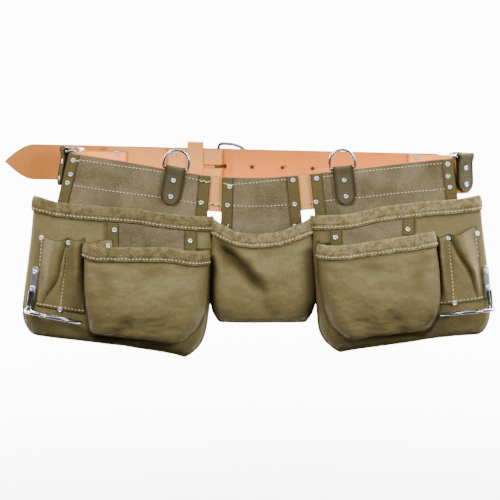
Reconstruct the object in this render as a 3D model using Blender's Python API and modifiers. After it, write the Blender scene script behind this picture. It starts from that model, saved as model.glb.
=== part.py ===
"""A carpenter's nail apron: a tan belt with a band, suede panels and hanging leather pouches.

Metres, +Z up. The front faces -Y and the origin is the middle of the belt loop, where the waist goes.
"""
import math
from collections import namedtuple

import bmesh
import bpy
from mathutils import Matrix, Vector

# Belt and clearances
GAP = 0.0003
BELT_WIDTH = 0.0508
BELT_THICK = 0.0030
LOOP_LEFT = 0.2820
LOOP_RIGHT = 0.2922
LOOP_DEPTH = 0.0540
LEFT_CORNER = 0.0120
BAND_REACH = 0.2755
BAND_SAG = 0.0350
BAND_END_DROP = 0.0060
BAND_END_LEFT = LOOP_LEFT - 0.0854
BAND_END_RIGHT = LOOP_RIGHT - 0.0870
BAND_END_LOW = 0.0080
BACK_DROP = 0.0056
BACK_SLOPE = -0.0233
LEFT_LEAN = math.radians(10.0)
RIGHT_LEAN = math.radians(-2.0)

# Back straps, buckle and keeper
BUCKLE_STRAP_END = BAND_END_LEFT + 0.0344
FOLD_END = 0.1406
BAR_X = -0.0658
BAR_RADIUS = 0.0022
BILLET_END = BAND_END_RIGHT + 0.0435
BILLET_TIP = 0.3720
BILLET_POINT = 0.0400
BILLET_STANDOFF = 0.0018
HOLE_FIRST = -0.0560
HOLE_PITCH = 0.0425
HOLE_COUNT = 4
HOLE_RADIUS = 0.0027
FRAME_RADIUS = 0.0022
FRAME_LENGTH = 0.0460
FRAME_HALF_HEIGHT = 0.0325
FRAME_TILT = math.radians(18.0)
FRAME_CORNER = 0.0040
FRAME_SQUARENESS = 0.83
PRONG_RADIUS = 0.0016
SLOT_LENGTH = 0.0190
SLOT_HEIGHT = 0.0052
KEEPER_X = -0.0990
KEEPER_WIDTH = 0.0230
KEEPER_WALL = 0.0020
KEEPER_STAND = 0.0090
KEEPER_CORNER = 0.0015

# Ring tabs and D-rings
TAB_WIDTH = 0.0280
TAB_LENGTH = 0.0540
TAB_WALL = 0.0022
RING_WIRE = 0.0016
RING_WIDTH = 0.0390
RING_ARM = 0.0090
RING_RISE = 0.0025
RING_CORNER = 0.0030
WIRE_ROUNDNESS = 1
FRONT_TAB_LEFT = -0.1278
FRONT_TAB_RIGHT = 0.1140
END_TAB_ANGLE = math.radians(38.0)
LEFT_TAB_TURN = math.radians(17.0)
LEFT_TAB_SHIFT = 0.0070
RING_FOLDED = {"end_left": math.radians(-75.0), "end_right": math.radians(-84.0)}

# Leather walls of the bags
PANEL_WALL = 0.0020
POUCH_WALL = 0.0020
SMALL_WALL = 0.0018
SMALL_BACK_WALL = 0.0014
HOLSTER_WALL = 0.0018
HOLSTER_TUCK = 0.0040
HOLSTER_BORDER = 0.24
HOLSTER_SCOOP = 0.0060
BINDING_WALL = 0.0013
BINDING_GAP = 0.0010
SEAT_GAP = 0.0014
PATCH_GAP = 0.0008
BINDING_HEIGHT = 0.0176
BINDING_INSIDE = 0.0120
WING_WIDTH = 0.0160
PANEL_EDGE = 0.0010
SQUARENESS = 0.62
RIM_STIFF = 0.13
DENT_TAPER = 0.6

# Hammer loops
PLATE_WIDTH = 0.0135
PLATE_HEIGHT = 0.0490
PLATE_THICK = 0.0015
PLATE_BEVEL = 0.0005
PLATE_STAND = 0.0030
PLATE_RIVETS = (0.0170, -0.0060)
LOOP_WIRE = 0.0024
LOOP_WIDTH = 0.0790
LOOP_REACH = 0.0600
STEM_SPREAD = 0.0032
STEM_WELD = 0.0007
STEM_OVERLAP = 0.0100
STEM_DROP = 0.0110
RING_START = 128.0

# Rivets
RIVET_HEAD = 0.0040
RIVET_DOME = 0.0016
RIVET_SHANK = 0.0015
RIVET_TAIL = 0.0034
RIVET_TAIL_THICK = 0.0008
RIVET_SIDES = 8
TAB_RIVETS = (-0.0130, -0.0365)
CURVE_SLACK = 0.0008
PLATE_SLACK = 0.0022

FRONT_Y = -LOOP_DEPTH / 2
BACK_Y = LOOP_DEPTH / 2
PANEL_FACE = FRONT_Y - GAP - PANEL_WALL

# Sag of the band: across as a share of BAND_REACH, sag as a share of BAND_SAG
BAND_LINE = (
    (-1.00, 0.000),
    (-0.70, 0.370),
    (-0.40, 0.800),
    (-0.20, 0.960),
    (0.00, 0.995),
    (0.20, 0.870),
    (0.50, 0.620),
    (0.75, 0.385),
    (1.00, 0.190),
)

# Pointed end of the billet: along as a share of BILLET_POINT, half as a share of half the belt's width
POINT_OUTLINE = (
    (0.00, 0.03),
    (0.12, 0.20),
    (0.35, 0.52),
    (0.62, 0.80),
    (0.85, 0.96),
    (1.00, 1.00),
)

# Level sections of a pouch. down is a share of the height at that place, outer and inner are shares of
# half the width, depth is a share of the pouch's depth, and the wraps are how far the wall comes round
# behind its widest place, in degrees.
Section = namedtuple("Section", "down outer inner depth wrap_outer wrap_inner")
LEFT_SECTIONS = (
    Section(0.00, 1.000, 1.000, 0.86, 50, 24),
    Section(0.25, 1.035, 1.000, 0.95, 42, 20),
    Section(0.50, 1.085, 0.985, 1.00, 30, 16),
    Section(0.70, 1.130, 0.950, 1.00, 18, 10),
    Section(0.82, 1.148, 0.915, 0.92, 10, 6),
    Section(0.90, 1.128, 0.862, 0.76, 5, 3),
    Section(0.96, 1.080, 0.775, 0.46, 2, 1),
    Section(1.00, 1.005, 0.680, 0.10, 0, 0),
)
RIGHT_SECTIONS = (
    Section(0.00, 1.000, 1.000, 0.86, 50, 20),
    Section(0.25, 1.045, 0.990, 0.95, 42, 18),
    Section(0.50, 1.100, 0.965, 1.00, 30, 14),
    Section(0.70, 1.135, 0.930, 1.00, 18, 10),
    Section(0.82, 1.145, 0.908, 0.92, 10, 6),
    Section(0.90, 1.128, 0.845, 0.76, 5, 3),
    Section(0.96, 1.085, 0.745, 0.46, 2, 1),
    Section(1.00, 1.020, 0.650, 0.10, 0, 0),
)
CENTER_SECTIONS = (
    Section(0.00, 1.000, 1.000, 0.82, 40, 40),
    Section(0.25, 1.010, 1.040, 0.92, 34, 34),
    Section(0.50, 1.030, 1.080, 1.00, 26, 26),
    Section(0.75, 1.060, 1.105, 0.98, 14, 14),
    Section(0.88, 1.030, 1.085, 0.80, 7, 7),
    Section(0.95, 0.960, 1.020, 0.52, 3, 3),
    Section(1.00, 0.860, 0.930, 0.10, 0, 0),
)
LEFT_SMALL_SECTIONS = (
    Section(0.00, 1.000, 1.000, 0.84, 48, 30),
    Section(0.25, 1.005, 1.000, 0.94, 40, 25),
    Section(0.45, 1.005, 0.985, 1.00, 30, 18),
    Section(0.66, 0.985, 0.940, 0.98, 18, 12),
    Section(0.80, 0.965, 0.850, 0.84, 10, 7),
    Section(0.92, 0.930, 0.660, 0.52, 4, 3),
    Section(1.00, 0.880, 0.470, 0.10, 0, 0),
)
RIGHT_SMALL_SECTIONS = (
    Section(0.00, 0.985, 1.000, 0.84, 42, 36),
    Section(0.25, 1.060, 0.995, 0.94, 36, 30),
    Section(0.45, 1.095, 0.970, 1.00, 28, 22),
    Section(0.66, 1.105, 0.885, 0.98, 18, 14),
    Section(0.80, 1.060, 0.780, 0.84, 10, 8),
    Section(0.92, 0.930, 0.600, 0.52, 4, 3),
    Section(1.00, 0.820, 0.450, 0.10, 0, 0),
)

# Mouth and bottom lines: across runs from 1 at the outer side to -1 at the inner side, and fall is a
# share of the pouch's rim_fall or bottom_fall below its outer height
LEFT_RIM = (
    (-1.00, 1.00),
    (-0.75, 0.94),
    (-0.42, 0.78),
    (-0.15, 0.59),
    (0.25, 0.47),
    (0.70, 0.29),
    (1.00, 0.00),
)
RIGHT_RIM = (
    (-1.00, 0.98),
    (-0.55, 0.85),
    (-0.20, 0.53),
    (0.05, 0.39),
    (0.40, 0.24),
    (0.70, 0.15),
    (1.00, 0.00),
)
CENTER_RIM = (
    (-1.00, 0.00),
    (-0.70, 0.42),
    (-0.38, 0.82),
    (0.00, 1.00),
    (0.24, 1.00),
    (0.55, 0.79),
    (1.00, 0.00),
)
LEFT_SMALL_RIM = (
    (-1.00, 1.00),
    (-0.72, 0.95),
    (-0.40, 0.55),
    (-0.08, 0.50),
    (0.56, 0.40),
    (0.80, 0.30),
    (1.00, 0.00),
)
RIGHT_SMALL_RIM = ((-1.0, 0.95), (-0.73, 1.00), (-0.30, 0.77), (0.38, 0.35), (1.0, 0.0))
LEFT_BOTTOM = ((-1.0, 1.00), (-0.83, 0.85), (-0.28, 0.59), (0.27, 0.32), (1.0, 0.0))
RIGHT_BOTTOM = ((-1.0, 1.00), (-0.82, 0.88), (0.05, 0.48), (0.42, 0.21), (0.67, 0.08), (1.0, 0.0))
LEVEL_LINE = ((-1.0, 0.0), (1.0, 0.0))
SLANT_LINE = ((-1.0, 1.0), (1.0, 0.0))

# Dents in a pouch's front: from and to, across and down, then width as a share of the pouch's width
# and depth as a share of its depth
Dent = namedtuple("Dent", "from_across from_down to_across to_down width depth")
CENTER_DENTS = (
    Dent(0.62, 0.16, 0.05, 0.50, 0.075, 0.30),
    Dent(0.85, 0.10, 0.78, 0.45, 0.060, 0.16),
    Dent(-0.55, 0.30, -0.70, 0.75, 0.110, -0.08),
)
LEFT_DENTS = (
    Dent(-0.72, 0.55, -0.40, 0.95, 0.080, 0.10),
    Dent(0.55, 0.05, 0.20, 0.12, 0.060, 0.06),
)
RIGHT_DENTS = (
    Dent(-0.60, 0.55, -0.35, 0.95, 0.080, 0.10),
    Dent(0.60, 0.05, 0.30, 0.12, 0.060, 0.06),
)
SMALL_DENTS = (
    Dent(0.80, 0.15, 0.60, 0.60, 0.070, 0.10),
    Dent(-0.10, 0.45, -0.25, 0.80, 0.140, -0.07),
)

Pouch = namedtuple(
    "Pouch",
    "centre half depth side rim_drop rim_fall rim bottom_drop bottom_fall bottom sections dents wall"
    " top_outer top_inner",
)
MAIN_DEPTH = 0.0500
CENTER_DEPTH = 0.0480
SMALL_DEPTH = 0.0380
LEFT_POUCH = Pouch(
    -0.1970, 0.1240, MAIN_DEPTH, -1, 0.0412, 0.0288, LEFT_RIM, 0.2388, 0.0312, LEFT_BOTTOM,
    LEFT_SECTIONS, LEFT_DENTS, POUCH_WALL, -0.2755, -0.0755,
)
RIGHT_POUCH = Pouch(
    0.1840, 0.1170, MAIN_DEPTH, 1, 0.0405, 0.0290, RIGHT_RIM, 0.2372, 0.0258, RIGHT_BOTTOM,
    RIGHT_SECTIONS, RIGHT_DENTS, POUCH_WALL, 0.2660, 0.0650,
)
CENTER_POUCH = Pouch(
    -0.0035, 0.0655, CENTER_DEPTH, -1, 0.0738, 0.0196, CENTER_RIM, 0.2198, 0.0010, LEVEL_LINE,
    CENTER_SECTIONS, CENTER_DENTS, POUCH_WALL, -0.0590, 0.0475,
)
LEFT_SMALL = Pouch(
    -0.1628, 0.0845, SMALL_DEPTH, -1, 0.1002, 0.0137, LEFT_SMALL_RIM, 0.2300, 0.0160, SLANT_LINE,
    LEFT_SMALL_SECTIONS, SMALL_DENTS, SMALL_WALL, -0.2183, -0.0942,
)
RIGHT_SMALL = Pouch(
    0.1556, 0.0793, SMALL_DEPTH, 1, 0.0865, 0.0195, RIGHT_SMALL_RIM, 0.2260, 0.0140, SLANT_LINE,
    RIGHT_SMALL_SECTIONS, SMALL_DENTS, SMALL_WALL, 0.2090, 0.0925,
)

# Tool holsters: the seams as x at the top and the bottom, and the heights at the outer and inner ends
Holster = namedtuple(
    "Holster",
    "outer_top outer_low seam_top seam_low inner_top inner_low top low_outer low_inner bulge",
)
LEFT_HOLSTER = Holster(
    -0.3110, -0.3180, -0.2720, -0.2840, -0.2500, -0.2500, -0.0950, -0.1910, -0.2010, 0.0190,
)
RIGHT_HOLSTER = Holster(
    0.2950, 0.3070, 0.2560, 0.2650, 0.2375, 0.2460, -0.0900, -0.1830, -0.1890, 0.0190,
)

# Hammer loops: the plate's middle at its top and bottom, and the ring's middle and fall toward the centre
HammerLoop = namedtuple("HammerLoop", "side top_x low_x top_z ring_x ring_y ring_z ring_fall")
LEFT_LOOP = HammerLoop(-1, -0.3160, -0.3235, -0.1360, -0.2900, -0.1170, -0.2010, 0.20)
RIGHT_LOOP = HammerLoop(1, 0.3050, 0.3135, -0.1350, 0.2800, -0.1170, -0.1940, 0.09)

# Rows and columns of the shells' cages
POUCH_ROWS = (0.0, 0.11, 0.24, 0.38, 0.52, 0.66, 0.77, 0.86, 0.93, 1.0)
POUCH_COLUMNS = 19
SMALL_COLUMNS = 15
WING_ROW_COUNT = 2
PANEL_COLUMNS = 6
PATCH_COLUMNS = 13
PANEL_ROWS = (3, (0.0, 0.3, 0.6, 0.85, 0.985))
PATCH_ROWS = (1, (0.0, 0.16, 0.32))

Station = namedtuple("Station", "spot out up")


def read_row(table, place, column=1):
    """Reads a column of a table at a place, along a smooth curve through its rows."""
    if place <= table[0][0]:
        return table[0][column]
    for index in range(len(table) - 1):
        low, high = table[index], table[index + 1]
        if place <= high[0]:
            break
    else:
        return table[-1][column]
    before = table[max(index - 1, 0)]
    after = table[min(index + 2, len(table) - 1)]
    span = high[0] - low[0]
    share = (place - low[0]) / span
    slope_low = (high[column] - before[column]) / (high[0] - before[0]) * span
    slope_high = (after[column] - low[column]) / (after[0] - low[0]) * span
    return (
        low[column] * (2 * share**3 - 3 * share**2 + 1)
        + slope_low * (share**3 - 2 * share**2 + share)
        + high[column] * (3 * share**2 - 2 * share**3)
        + slope_high * (share**3 - share**2)
    )


def signed_power(value, power):
    """Raises a value to a power and keeps its sign."""
    return math.copysign(abs(value) ** power, value)


def blend(low, high, share):
    """Goes from low to high by a share."""
    return low + (high - low) * share


def band_height(x):
    """Height of the band's middle line at the front."""
    return -BAND_END_DROP - BAND_SAG * read_row(BAND_LINE, x / BAND_REACH)


def band_up(x):
    """Direction across the band's width at the front, square to its middle line."""
    step = 0.002
    slope = (band_height(x + step) - band_height(x - step)) / (2 * step)
    return Vector((-slope, 0.0, 1.0)).normalized()


def band_edge(x):
    """Height of the band's top edge straight above a place at the front."""
    return band_height(x) + BELT_WIDTH / 2 / band_up(x).z


def back_height(x):
    """Height of the back straps' middle line."""
    return -BACK_DROP + BACK_SLOPE * x


def new_material(name, colour, roughness, metallic=0.0):
    """A plain Principled material."""
    material = bpy.data.materials.new(name)
    material.use_nodes = True
    shader = material.node_tree.nodes["Principled BSDF"]
    shader.inputs["Base Color"].default_value = (*colour, 1.0)
    shader.inputs["Roughness"].default_value = roughness
    shader.inputs["Metallic"].default_value = metallic
    return material


def add_object(name, data, material, collection):
    """Links a mesh or curve as an object of the apron."""
    piece = bpy.data.objects.new(name, data)
    collection.objects.link(piece)
    if material is not None:
        data.materials.append(material)
    return piece


def mesh_from(name, points, faces):
    """A mesh whose unused points are dropped and whose faces agree on their outer side."""
    mesh = bpy.data.meshes.new(name)
    work = bmesh.new()
    corners = [work.verts.new(point) for point in points]
    for face in faces:
        work.faces.new([corners[index] for index in face])
    loose = [corner for corner in work.verts if not corner.link_faces]
    bmesh.ops.delete(work, geom=loose, context="VERTS")
    bmesh.ops.recalc_face_normals(work, faces=work.faces)
    work.to_mesh(mesh)
    work.free()
    return mesh


def solidify(piece, thickness):
    """Gives an open surface its wall, half to each side."""
    wall = piece.modifiers.new("Wall", "SOLIDIFY")
    wall.thickness = thickness
    wall.offset = 0.0
    wall.use_even_offset = False


def ribbon(name, stations, halves, thickness, material, collection, closed=False):
    """A strap: a strip of stations with half its width at each, given its thickness."""
    points = []
    for station, half in zip(stations, halves):
        points.append(station.spot - station.up * half)
        points.append(station.spot + station.up * half)
    count = len(stations)
    faces = []
    for index in range(count if closed else count - 1):
        low = 2 * index
        high = 2 * ((index + 1) % count)
        faces.append((low, high, high + 1, low + 1))
    piece = add_object(name, mesh_from(name, points, faces), material, collection)
    solidify(piece, thickness)
    return piece


def wire(name, points, radius, material, collection, cyclic=False):
    """A bent wire through points."""
    curve = bpy.data.curves.new(name, "CURVE")
    curve.dimensions = "3D"
    curve.bevel_depth = radius
    curve.bevel_resolution = WIRE_ROUNDNESS
    curve.use_fill_caps = True
    spline = curve.splines.new("POLY")
    spline.points.add(len(points) - 1)
    for point, place in zip(spline.points, points):
        point.co = (*place, 1.0)
    spline.use_cyclic_u = cyclic
    return add_object(name, curve, material, collection)


def to_mesh_object(piece):
    """Turns a curve object into a mesh object with its caps welded."""
    bpy.context.view_layer.update()
    evaluated = piece.evaluated_get(bpy.context.evaluated_depsgraph_get())
    mesh = bpy.data.meshes.new_from_object(evaluated)
    work = bmesh.new()
    work.from_mesh(mesh)
    bmesh.ops.remove_doubles(work, verts=work.verts, dist=0.00001)
    bmesh.ops.recalc_face_normals(work, faces=work.faces)
    work.to_mesh(mesh)
    work.free()
    solid = bpy.data.objects.new(piece.name + "_mesh", mesh)
    piece.users_collection[0].objects.link(solid)
    solid.matrix_world = piece.matrix_world
    name = piece.name
    bpy.data.objects.remove(piece)
    solid.name = name
    return solid


def cut(piece, cutter, operation="DIFFERENCE"):
    """Cuts a piece with a cutter, or joins the two."""
    change = piece.modifiers.new("Cut", "BOOLEAN")
    change.operation = operation
    change.solver = "EXACT"
    change.object = cutter


def rounded_path(corners, radius, steps):
    """A path of straight runs between corners, with each inner corner rounded."""
    path = [corners[0]]
    for index in range(1, len(corners) - 1):
        corner = corners[index]
        arrive = (corners[index - 1] - corner).normalized()
        leave = (corners[index + 1] - corner).normalized()
        for step in range(steps + 1):
            share = step / steps
            near = corner + arrive * radius * (1 - share) ** 2 + leave * radius * share**2
            path.append(near)
    path.append(corners[-1])
    return path


def front_station(x):
    """A station on the middle of the band's front."""
    return Station(Vector((x, FRONT_Y + BELT_THICK / 2, band_height(x))), Vector((0, -1, 0)), band_up(x))


def band_stations():
    """The band's whole way: left end at the back, round the left end, the front, the right end, the back."""
    middle = LOOP_DEPTH / 2 - BELT_THICK / 2
    stations = []
    left = -LOOP_LEFT + BELT_THICK / 2
    left_front = Vector((left + LEFT_CORNER, -middle + LEFT_CORNER, 0))
    left_back = Vector((left + LEFT_CORNER, middle - LEFT_CORNER, 0))
    height = band_height(-BAND_REACH)
    end = Vector((-BAND_END_LEFT, middle, -BAND_END_LOW))
    stations.append(Station(end, Vector((0, 1, 0)), Vector((math.tan(LEFT_LEAN) / 3, 0, 1))))
    for step in range(5):
        turn = math.radians(90 + 22.5 * step)
        out = Vector((math.cos(turn), math.sin(turn), 0))
        lean = LEFT_LEAN * (0.4 + 0.15 * step)
        spot = left_back + out * LEFT_CORNER + Vector((0, 0, height))
        stations.append(Station(spot, out, Vector((math.tan(lean), 0, 1))))
    for step in range(5):
        turn = math.radians(180 + 22.5 * step)
        out = Vector((math.cos(turn), math.sin(turn), 0))
        spot = left_front + out * LEFT_CORNER + Vector((0, 0, height))
        stations.append(Station(spot, out, Vector((math.tan(LEFT_LEAN), 0, 1))))
    steps = 16
    right_centre = LOOP_RIGHT - BELT_THICK / 2 - middle
    for step in range(1, steps):
        stations.append(front_station(blend(left + LEFT_CORNER, right_centre, step / steps)))
    right_height = band_height(right_centre)
    for step in range(11):
        turn = math.radians(-90 + 18 * step)
        out = Vector((math.cos(turn), math.sin(turn), 0))
        spot = Vector((right_centre, 0, right_height)) + out * middle
        stations.append(Station(spot, out, Vector((math.tan(RIGHT_LEAN), 0, 1))))
    end = Vector((BAND_END_RIGHT, middle, back_height(BAND_END_RIGHT)))
    stations.append(Station(end, Vector((0, 1, 0)), Vector((-BACK_SLOPE, 0, 1))))
    return [Station(s.spot, s.out, s.up.normalized()) for s in stations]


def back_stations(way):
    """Stations along the back from a list of x and y."""
    up = Vector((-BACK_SLOPE, 0, 1)).normalized()
    stations = []
    for index, (x, y) in enumerate(way):
        before = Vector(way[max(index - 1, 0)])
        after = Vector(way[min(index + 1, len(way) - 1)])
        along = (after - before).normalized()
        out = Vector((-along.y, along.x, 0))
        stations.append(Station(Vector((x, y, back_height(x))), out, up))
    return stations


STRAP_Y = BACK_Y + GAP + BELT_THICK / 2
FOLD_Y = BACK_Y - BELT_THICK / 2
BAR_Y = BACK_Y + GAP / 2
FOLD_RADIUS = BAR_RADIUS + GAP + BELT_THICK / 2
BILLET_Y = BACK_Y + GAP + BELT_THICK + BILLET_STANDOFF + BELT_THICK / 2
BILLET_CREST = BAR_Y + FOLD_RADIUS + BELT_THICK + GAP


def buckle_strap_stations():
    """Outer layer from its sewn end, round the bar, and the inner layer back to its cut end."""
    way = [(-BUCKLE_STRAP_END, STRAP_Y), (BAR_X - 0.080, STRAP_Y), (BAR_X - 0.018, STRAP_Y)]
    way.append((BAR_X - 0.009, blend(STRAP_Y, BAR_Y + FOLD_RADIUS, 0.7)))
    for step in range(7):
        turn = math.radians(90 - 30 * step)
        way.append((BAR_X + FOLD_RADIUS * math.cos(turn), BAR_Y + FOLD_RADIUS * math.sin(turn)))
    way.append((BAR_X - 0.009, blend(FOLD_Y, BAR_Y - FOLD_RADIUS, 0.7)))
    way.append((BAR_X - 0.018, FOLD_Y))
    way.append((-FOLD_END, FOLD_Y))
    return back_stations(way)


def billet_way():
    """The billet from its sewn end at the right to its tip, over the bar and under the frame's far side."""
    under = FRAME_LENGTH / 2
    limit = BAR_Y + math.tan(FRAME_TILT) * under - FRAME_RADIUS * 1.1 - GAP - BELT_THICK / 2
    return [
        (BILLET_END, STRAP_Y),
        (BAR_X + FRAME_LENGTH * 3, STRAP_Y),
        (BAR_X + FRAME_LENGTH * 1.5, STRAP_Y),
        (BAR_X + FRAME_LENGTH * 0.85, STRAP_Y),
        (BAR_X + under * 1.25, blend(STRAP_Y, limit, 0.45)),
        (BAR_X + under, limit - 0.0005),
        (BAR_X + under * 0.75, blend(limit, BILLET_CREST, 0.55)),
        (BAR_X + under * 0.5, BILLET_CREST),
        (BAR_X - 0.004, BILLET_CREST),
        (BAR_X - 0.012, blend(BILLET_CREST, BILLET_Y, 0.6)),
        (BAR_X - 0.019, BILLET_Y),
        (-0.180, BILLET_Y),
        (-0.260, BILLET_Y),
        (-BILLET_TIP + BILLET_POINT, BILLET_Y),
    ]


def make_straps(tan_leather, collection):
    """The band, the two back straps and the keeper."""
    stations = band_stations()
    halves = [BELT_WIDTH / 2] * len(stations)
    band = ribbon("front_band", stations, halves, BELT_THICK, tan_leather, collection)
    stations = buckle_strap_stations()
    halves = [BELT_WIDTH / 2] * len(stations)
    strap = ribbon("buckle_strap", stations, halves, BELT_THICK, tan_leather, collection)
    way = billet_way()
    halves = [BELT_WIDTH / 2] * len(way)
    for along, half in reversed(POINT_OUTLINE[:-1]):
        way.append((-BILLET_TIP + along * BILLET_POINT, BILLET_Y))
        halves.append(half * BELT_WIDTH / 2)
    billet = ribbon("billet_strap", back_stations(way), halves, BELT_THICK, tan_leather, collection)
    make_keeper(tan_leather, collection)
    return band, strap, billet


def make_keeper(tan_leather, collection):
    """The closed loop that holds the billet against the buckle strap."""
    middle = Vector((KEEPER_X, 0, back_height(KEEPER_X)))
    along = Vector((1, 0, BACK_SLOPE)).normalized()
    up = Vector((-BACK_SLOPE, 0, 1)).normalized()
    low = up * (-BELT_WIDTH / 2 - GAP - KEEPER_WALL / 2)
    high = up * (BELT_WIDTH / 2 + KEEPER_STAND - KEEPER_WALL / 2)
    near = middle + Vector((0, FOLD_Y - BELT_THICK / 2 - GAP - KEEPER_WALL / 2, 0))
    far = middle + Vector((0, BILLET_Y + BELT_THICK / 2 + GAP + KEEPER_WALL / 2, 0))
    corners = [near, near + high, far + high, far + low, near + low, near]
    path = rounded_path(corners, KEEPER_CORNER, 2)[:-1]
    loop = [Station(point, Vector((0, 1, 0)), along) for point in path]
    halves = [KEEPER_WIDTH / 2] * len(loop)
    return ribbon("keeper_loop", loop, halves, KEEPER_WALL, tan_leather, collection, closed=True)


def make_buckle(chrome, collection):
    """The frame with its bar, and the prong."""
    centre_z = back_height(BAR_X)
    lean = math.tan(FRAME_TILT)
    up = Vector((-BACK_SLOPE, 0, 1)).normalized()

    def frame_point(along, height):
        return Vector((BAR_X + along, BAR_Y + along * lean, centre_z)) + up * height

    inset = FRAME_CORNER
    points = [frame_point(0, -FRAME_HALF_HEIGHT + inset), frame_point(0, FRAME_HALF_HEIGHT - inset)]
    points.append(frame_point(inset * 0.3, FRAME_HALF_HEIGHT - inset * 0.3))
    arc = FRAME_LENGTH - inset
    for step in range(13):
        turn = math.radians(90 - 15 * step)
        reach = signed_power(math.cos(turn), FRAME_SQUARENESS)
        height = signed_power(math.sin(turn), FRAME_SQUARENESS)
        points.append(frame_point(inset + arc * reach, FRAME_HALF_HEIGHT * height))
    points.append(frame_point(inset * 0.3, -FRAME_HALF_HEIGHT + inset * 0.3))
    wire("buckle_frame", points, FRAME_RADIUS, chrome, collection, cyclic=True)
    curl = BAR_RADIUS + GAP + PRONG_RADIUS
    route = []
    for step in range(8):
        turn = math.radians(130 + 31 * step)
        route.append(Vector((BAR_X + curl * math.cos(turn), BAR_Y + curl * math.sin(turn), centre_z)))
    outside = BILLET_CREST + BELT_THICK / 2 + GAP + PRONG_RADIUS
    frame_end = BAR_X + FRAME_LENGTH
    rest = BAR_Y + lean * FRAME_LENGTH + (FRAME_RADIUS + GAP + PRONG_RADIUS) * 1.1
    route.append(Vector((HOLE_FIRST - 0.0012, BAR_Y + 0.0030, centre_z)))
    route.append(Vector((HOLE_FIRST, BILLET_CREST - BELT_THICK / 2 - 0.0004, centre_z)))
    route.append(Vector((HOLE_FIRST, BILLET_CREST + BELT_THICK / 2 + GAP, centre_z)))
    route.append(Vector((HOLE_FIRST + 0.0012, outside + 0.0006, centre_z)))
    route.append(Vector((frame_end - 0.004, rest, centre_z)))
    route.append(Vector((frame_end + FRAME_RADIUS, rest + 0.0008, centre_z)))
    to_mesh_object(wire("buckle_prong", route, PRONG_RADIUS, chrome, collection))


def tab_frames():
    """Each tab's name with the middle of the band's top edge there and the directions along, up and out."""
    frames = {}
    for name, x in (("front_left", FRONT_TAB_LEFT), ("front_right", FRONT_TAB_RIGHT)):
        up = band_up(x)
        out = Vector((0, -1, 0))
        spot = Vector((x, PANEL_FACE, band_height(x))) + up * BELT_WIDTH / 2
        frames[name] = (spot, up, out)
    middle = LOOP_DEPTH / 2 - BELT_THICK / 2
    up = Vector((math.tan(LEFT_LEAN), 0, 1)).normalized()
    turn = math.pi + LEFT_TAB_TURN
    forward = Vector((-math.sin(turn), math.cos(turn), 0))
    left = -LOOP_LEFT + BELT_THICK / 2
    corner = Vector((left + LEFT_CORNER, -middle + LEFT_CORNER, band_height(-BAND_REACH)))
    spot = corner + Vector((math.cos(turn), math.sin(turn), 0)) * (LEFT_CORNER + BELT_THICK / 2)
    spot += up * BELT_WIDTH / 2 - forward * LEFT_TAB_SHIFT
    frames["end_left"] = (spot, up, forward.cross(up).normalized())
    right_centre = LOOP_RIGHT - BELT_THICK / 2 - middle
    turn = END_TAB_ANGLE - math.pi / 2
    out = Vector((math.cos(turn), math.sin(turn), 0))
    up = Vector((math.tan(RIGHT_LEAN), 0, 1)).normalized()
    spot = Vector((right_centre, 0, band_height(right_centre)))
    spot += out * (LOOP_DEPTH / 2 + GAP) + up * BELT_WIDTH / 2
    frames["end_right"] = (spot, up, out)
    return frames


LOOP_INSIDE = RING_WIRE + GAP
LOOP_MIDDLE = LOOP_INSIDE + TAB_WALL / 2
BAR_OUT = GAP + TAB_WALL + LOOP_INSIDE
TAB_FACE = GAP + 2 * TAB_WALL + GAP


def make_tab(name, frame, leather, collection):
    """A strap folded over a ring's bar, with round ends."""
    spot, up, out = frame
    along = up.cross(out).normalized()
    back = GAP + TAB_WALL / 2
    front = back + TAB_WALL + GAP
    bar = RING_RISE
    low = bar + LOOP_MIDDLE - TAB_LENGTH
    radius = TAB_WIDTH / 2
    steps = 4
    rows = []
    for step in range(steps):
        turn = math.radians(90) * (step + 0.6) / (steps - 0.4)
        rows.append((back, low + radius * (1 - math.cos(turn)), radius * math.sin(turn)))
    rows.append((back, bar - 0.004, radius))
    for step in range(7):
        turn = math.radians(180 - 30 * step)
        rows.append((BAR_OUT + LOOP_MIDDLE * math.cos(turn), bar + LOOP_MIDDLE * math.sin(turn), radius))
    rows.append((blend(front, BAR_OUT + LOOP_MIDDLE, 0.35), bar - 0.0055, radius))
    rows.append((front, bar - 0.0100, radius))
    for step in reversed(range(steps)):
        turn = math.radians(90) * (step + 0.6) / (steps - 0.4)
        rows.append((front, low + radius * (1 - math.cos(turn)), radius * math.sin(turn)))
    stations = []
    for reach, height, half in rows:
        stations.append(Station(spot + out * reach + up * height, -out, along))
    return ribbon("ring_tab_" + name, stations, [row[2] for row in rows], TAB_WALL, leather, collection)


def make_ring(name, frame, chrome, collection):
    """A D-ring whose straight bar is its turning axis; its object's origin is on that axis."""
    spot, up, out = frame
    along = up.cross(out).normalized()
    half = RING_WIDTH / 2 - RING_WIRE
    points = []
    for turn in (0, 45, 90):
        angle = math.radians(turn)
        rise = RING_CORNER * (1 - math.cos(angle))
        points.append((half - RING_CORNER * (1 - math.sin(angle)), rise))
    for step in range(10):
        angle = math.radians(20 * step)
        points.append((half * math.cos(angle), RING_ARM + half * math.sin(angle)))
    for turn in (90, 45, 0):
        angle = math.radians(turn)
        rise = RING_CORNER * (1 - math.cos(angle))
        points.append((-half + RING_CORNER * (1 - math.sin(angle)), rise))
    route = [Vector((x, 0, z)) for x, z in points]
    ring = wire("d_ring_" + name, route, RING_WIRE, chrome, collection, cyclic=True)
    centre = spot + out * BAR_OUT + up * RING_RISE
    basis = Matrix((along, up.cross(along), up)).transposed().to_4x4()
    turned = RING_FOLDED.get(name, 0.0)
    lean = Matrix.Rotation(turned if basis.col[1].to_3d().dot(out) < 0 else -turned, 4, "X")
    ring.matrix_world = Matrix.Translation(centre) @ basis @ lean
    return ring


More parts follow.
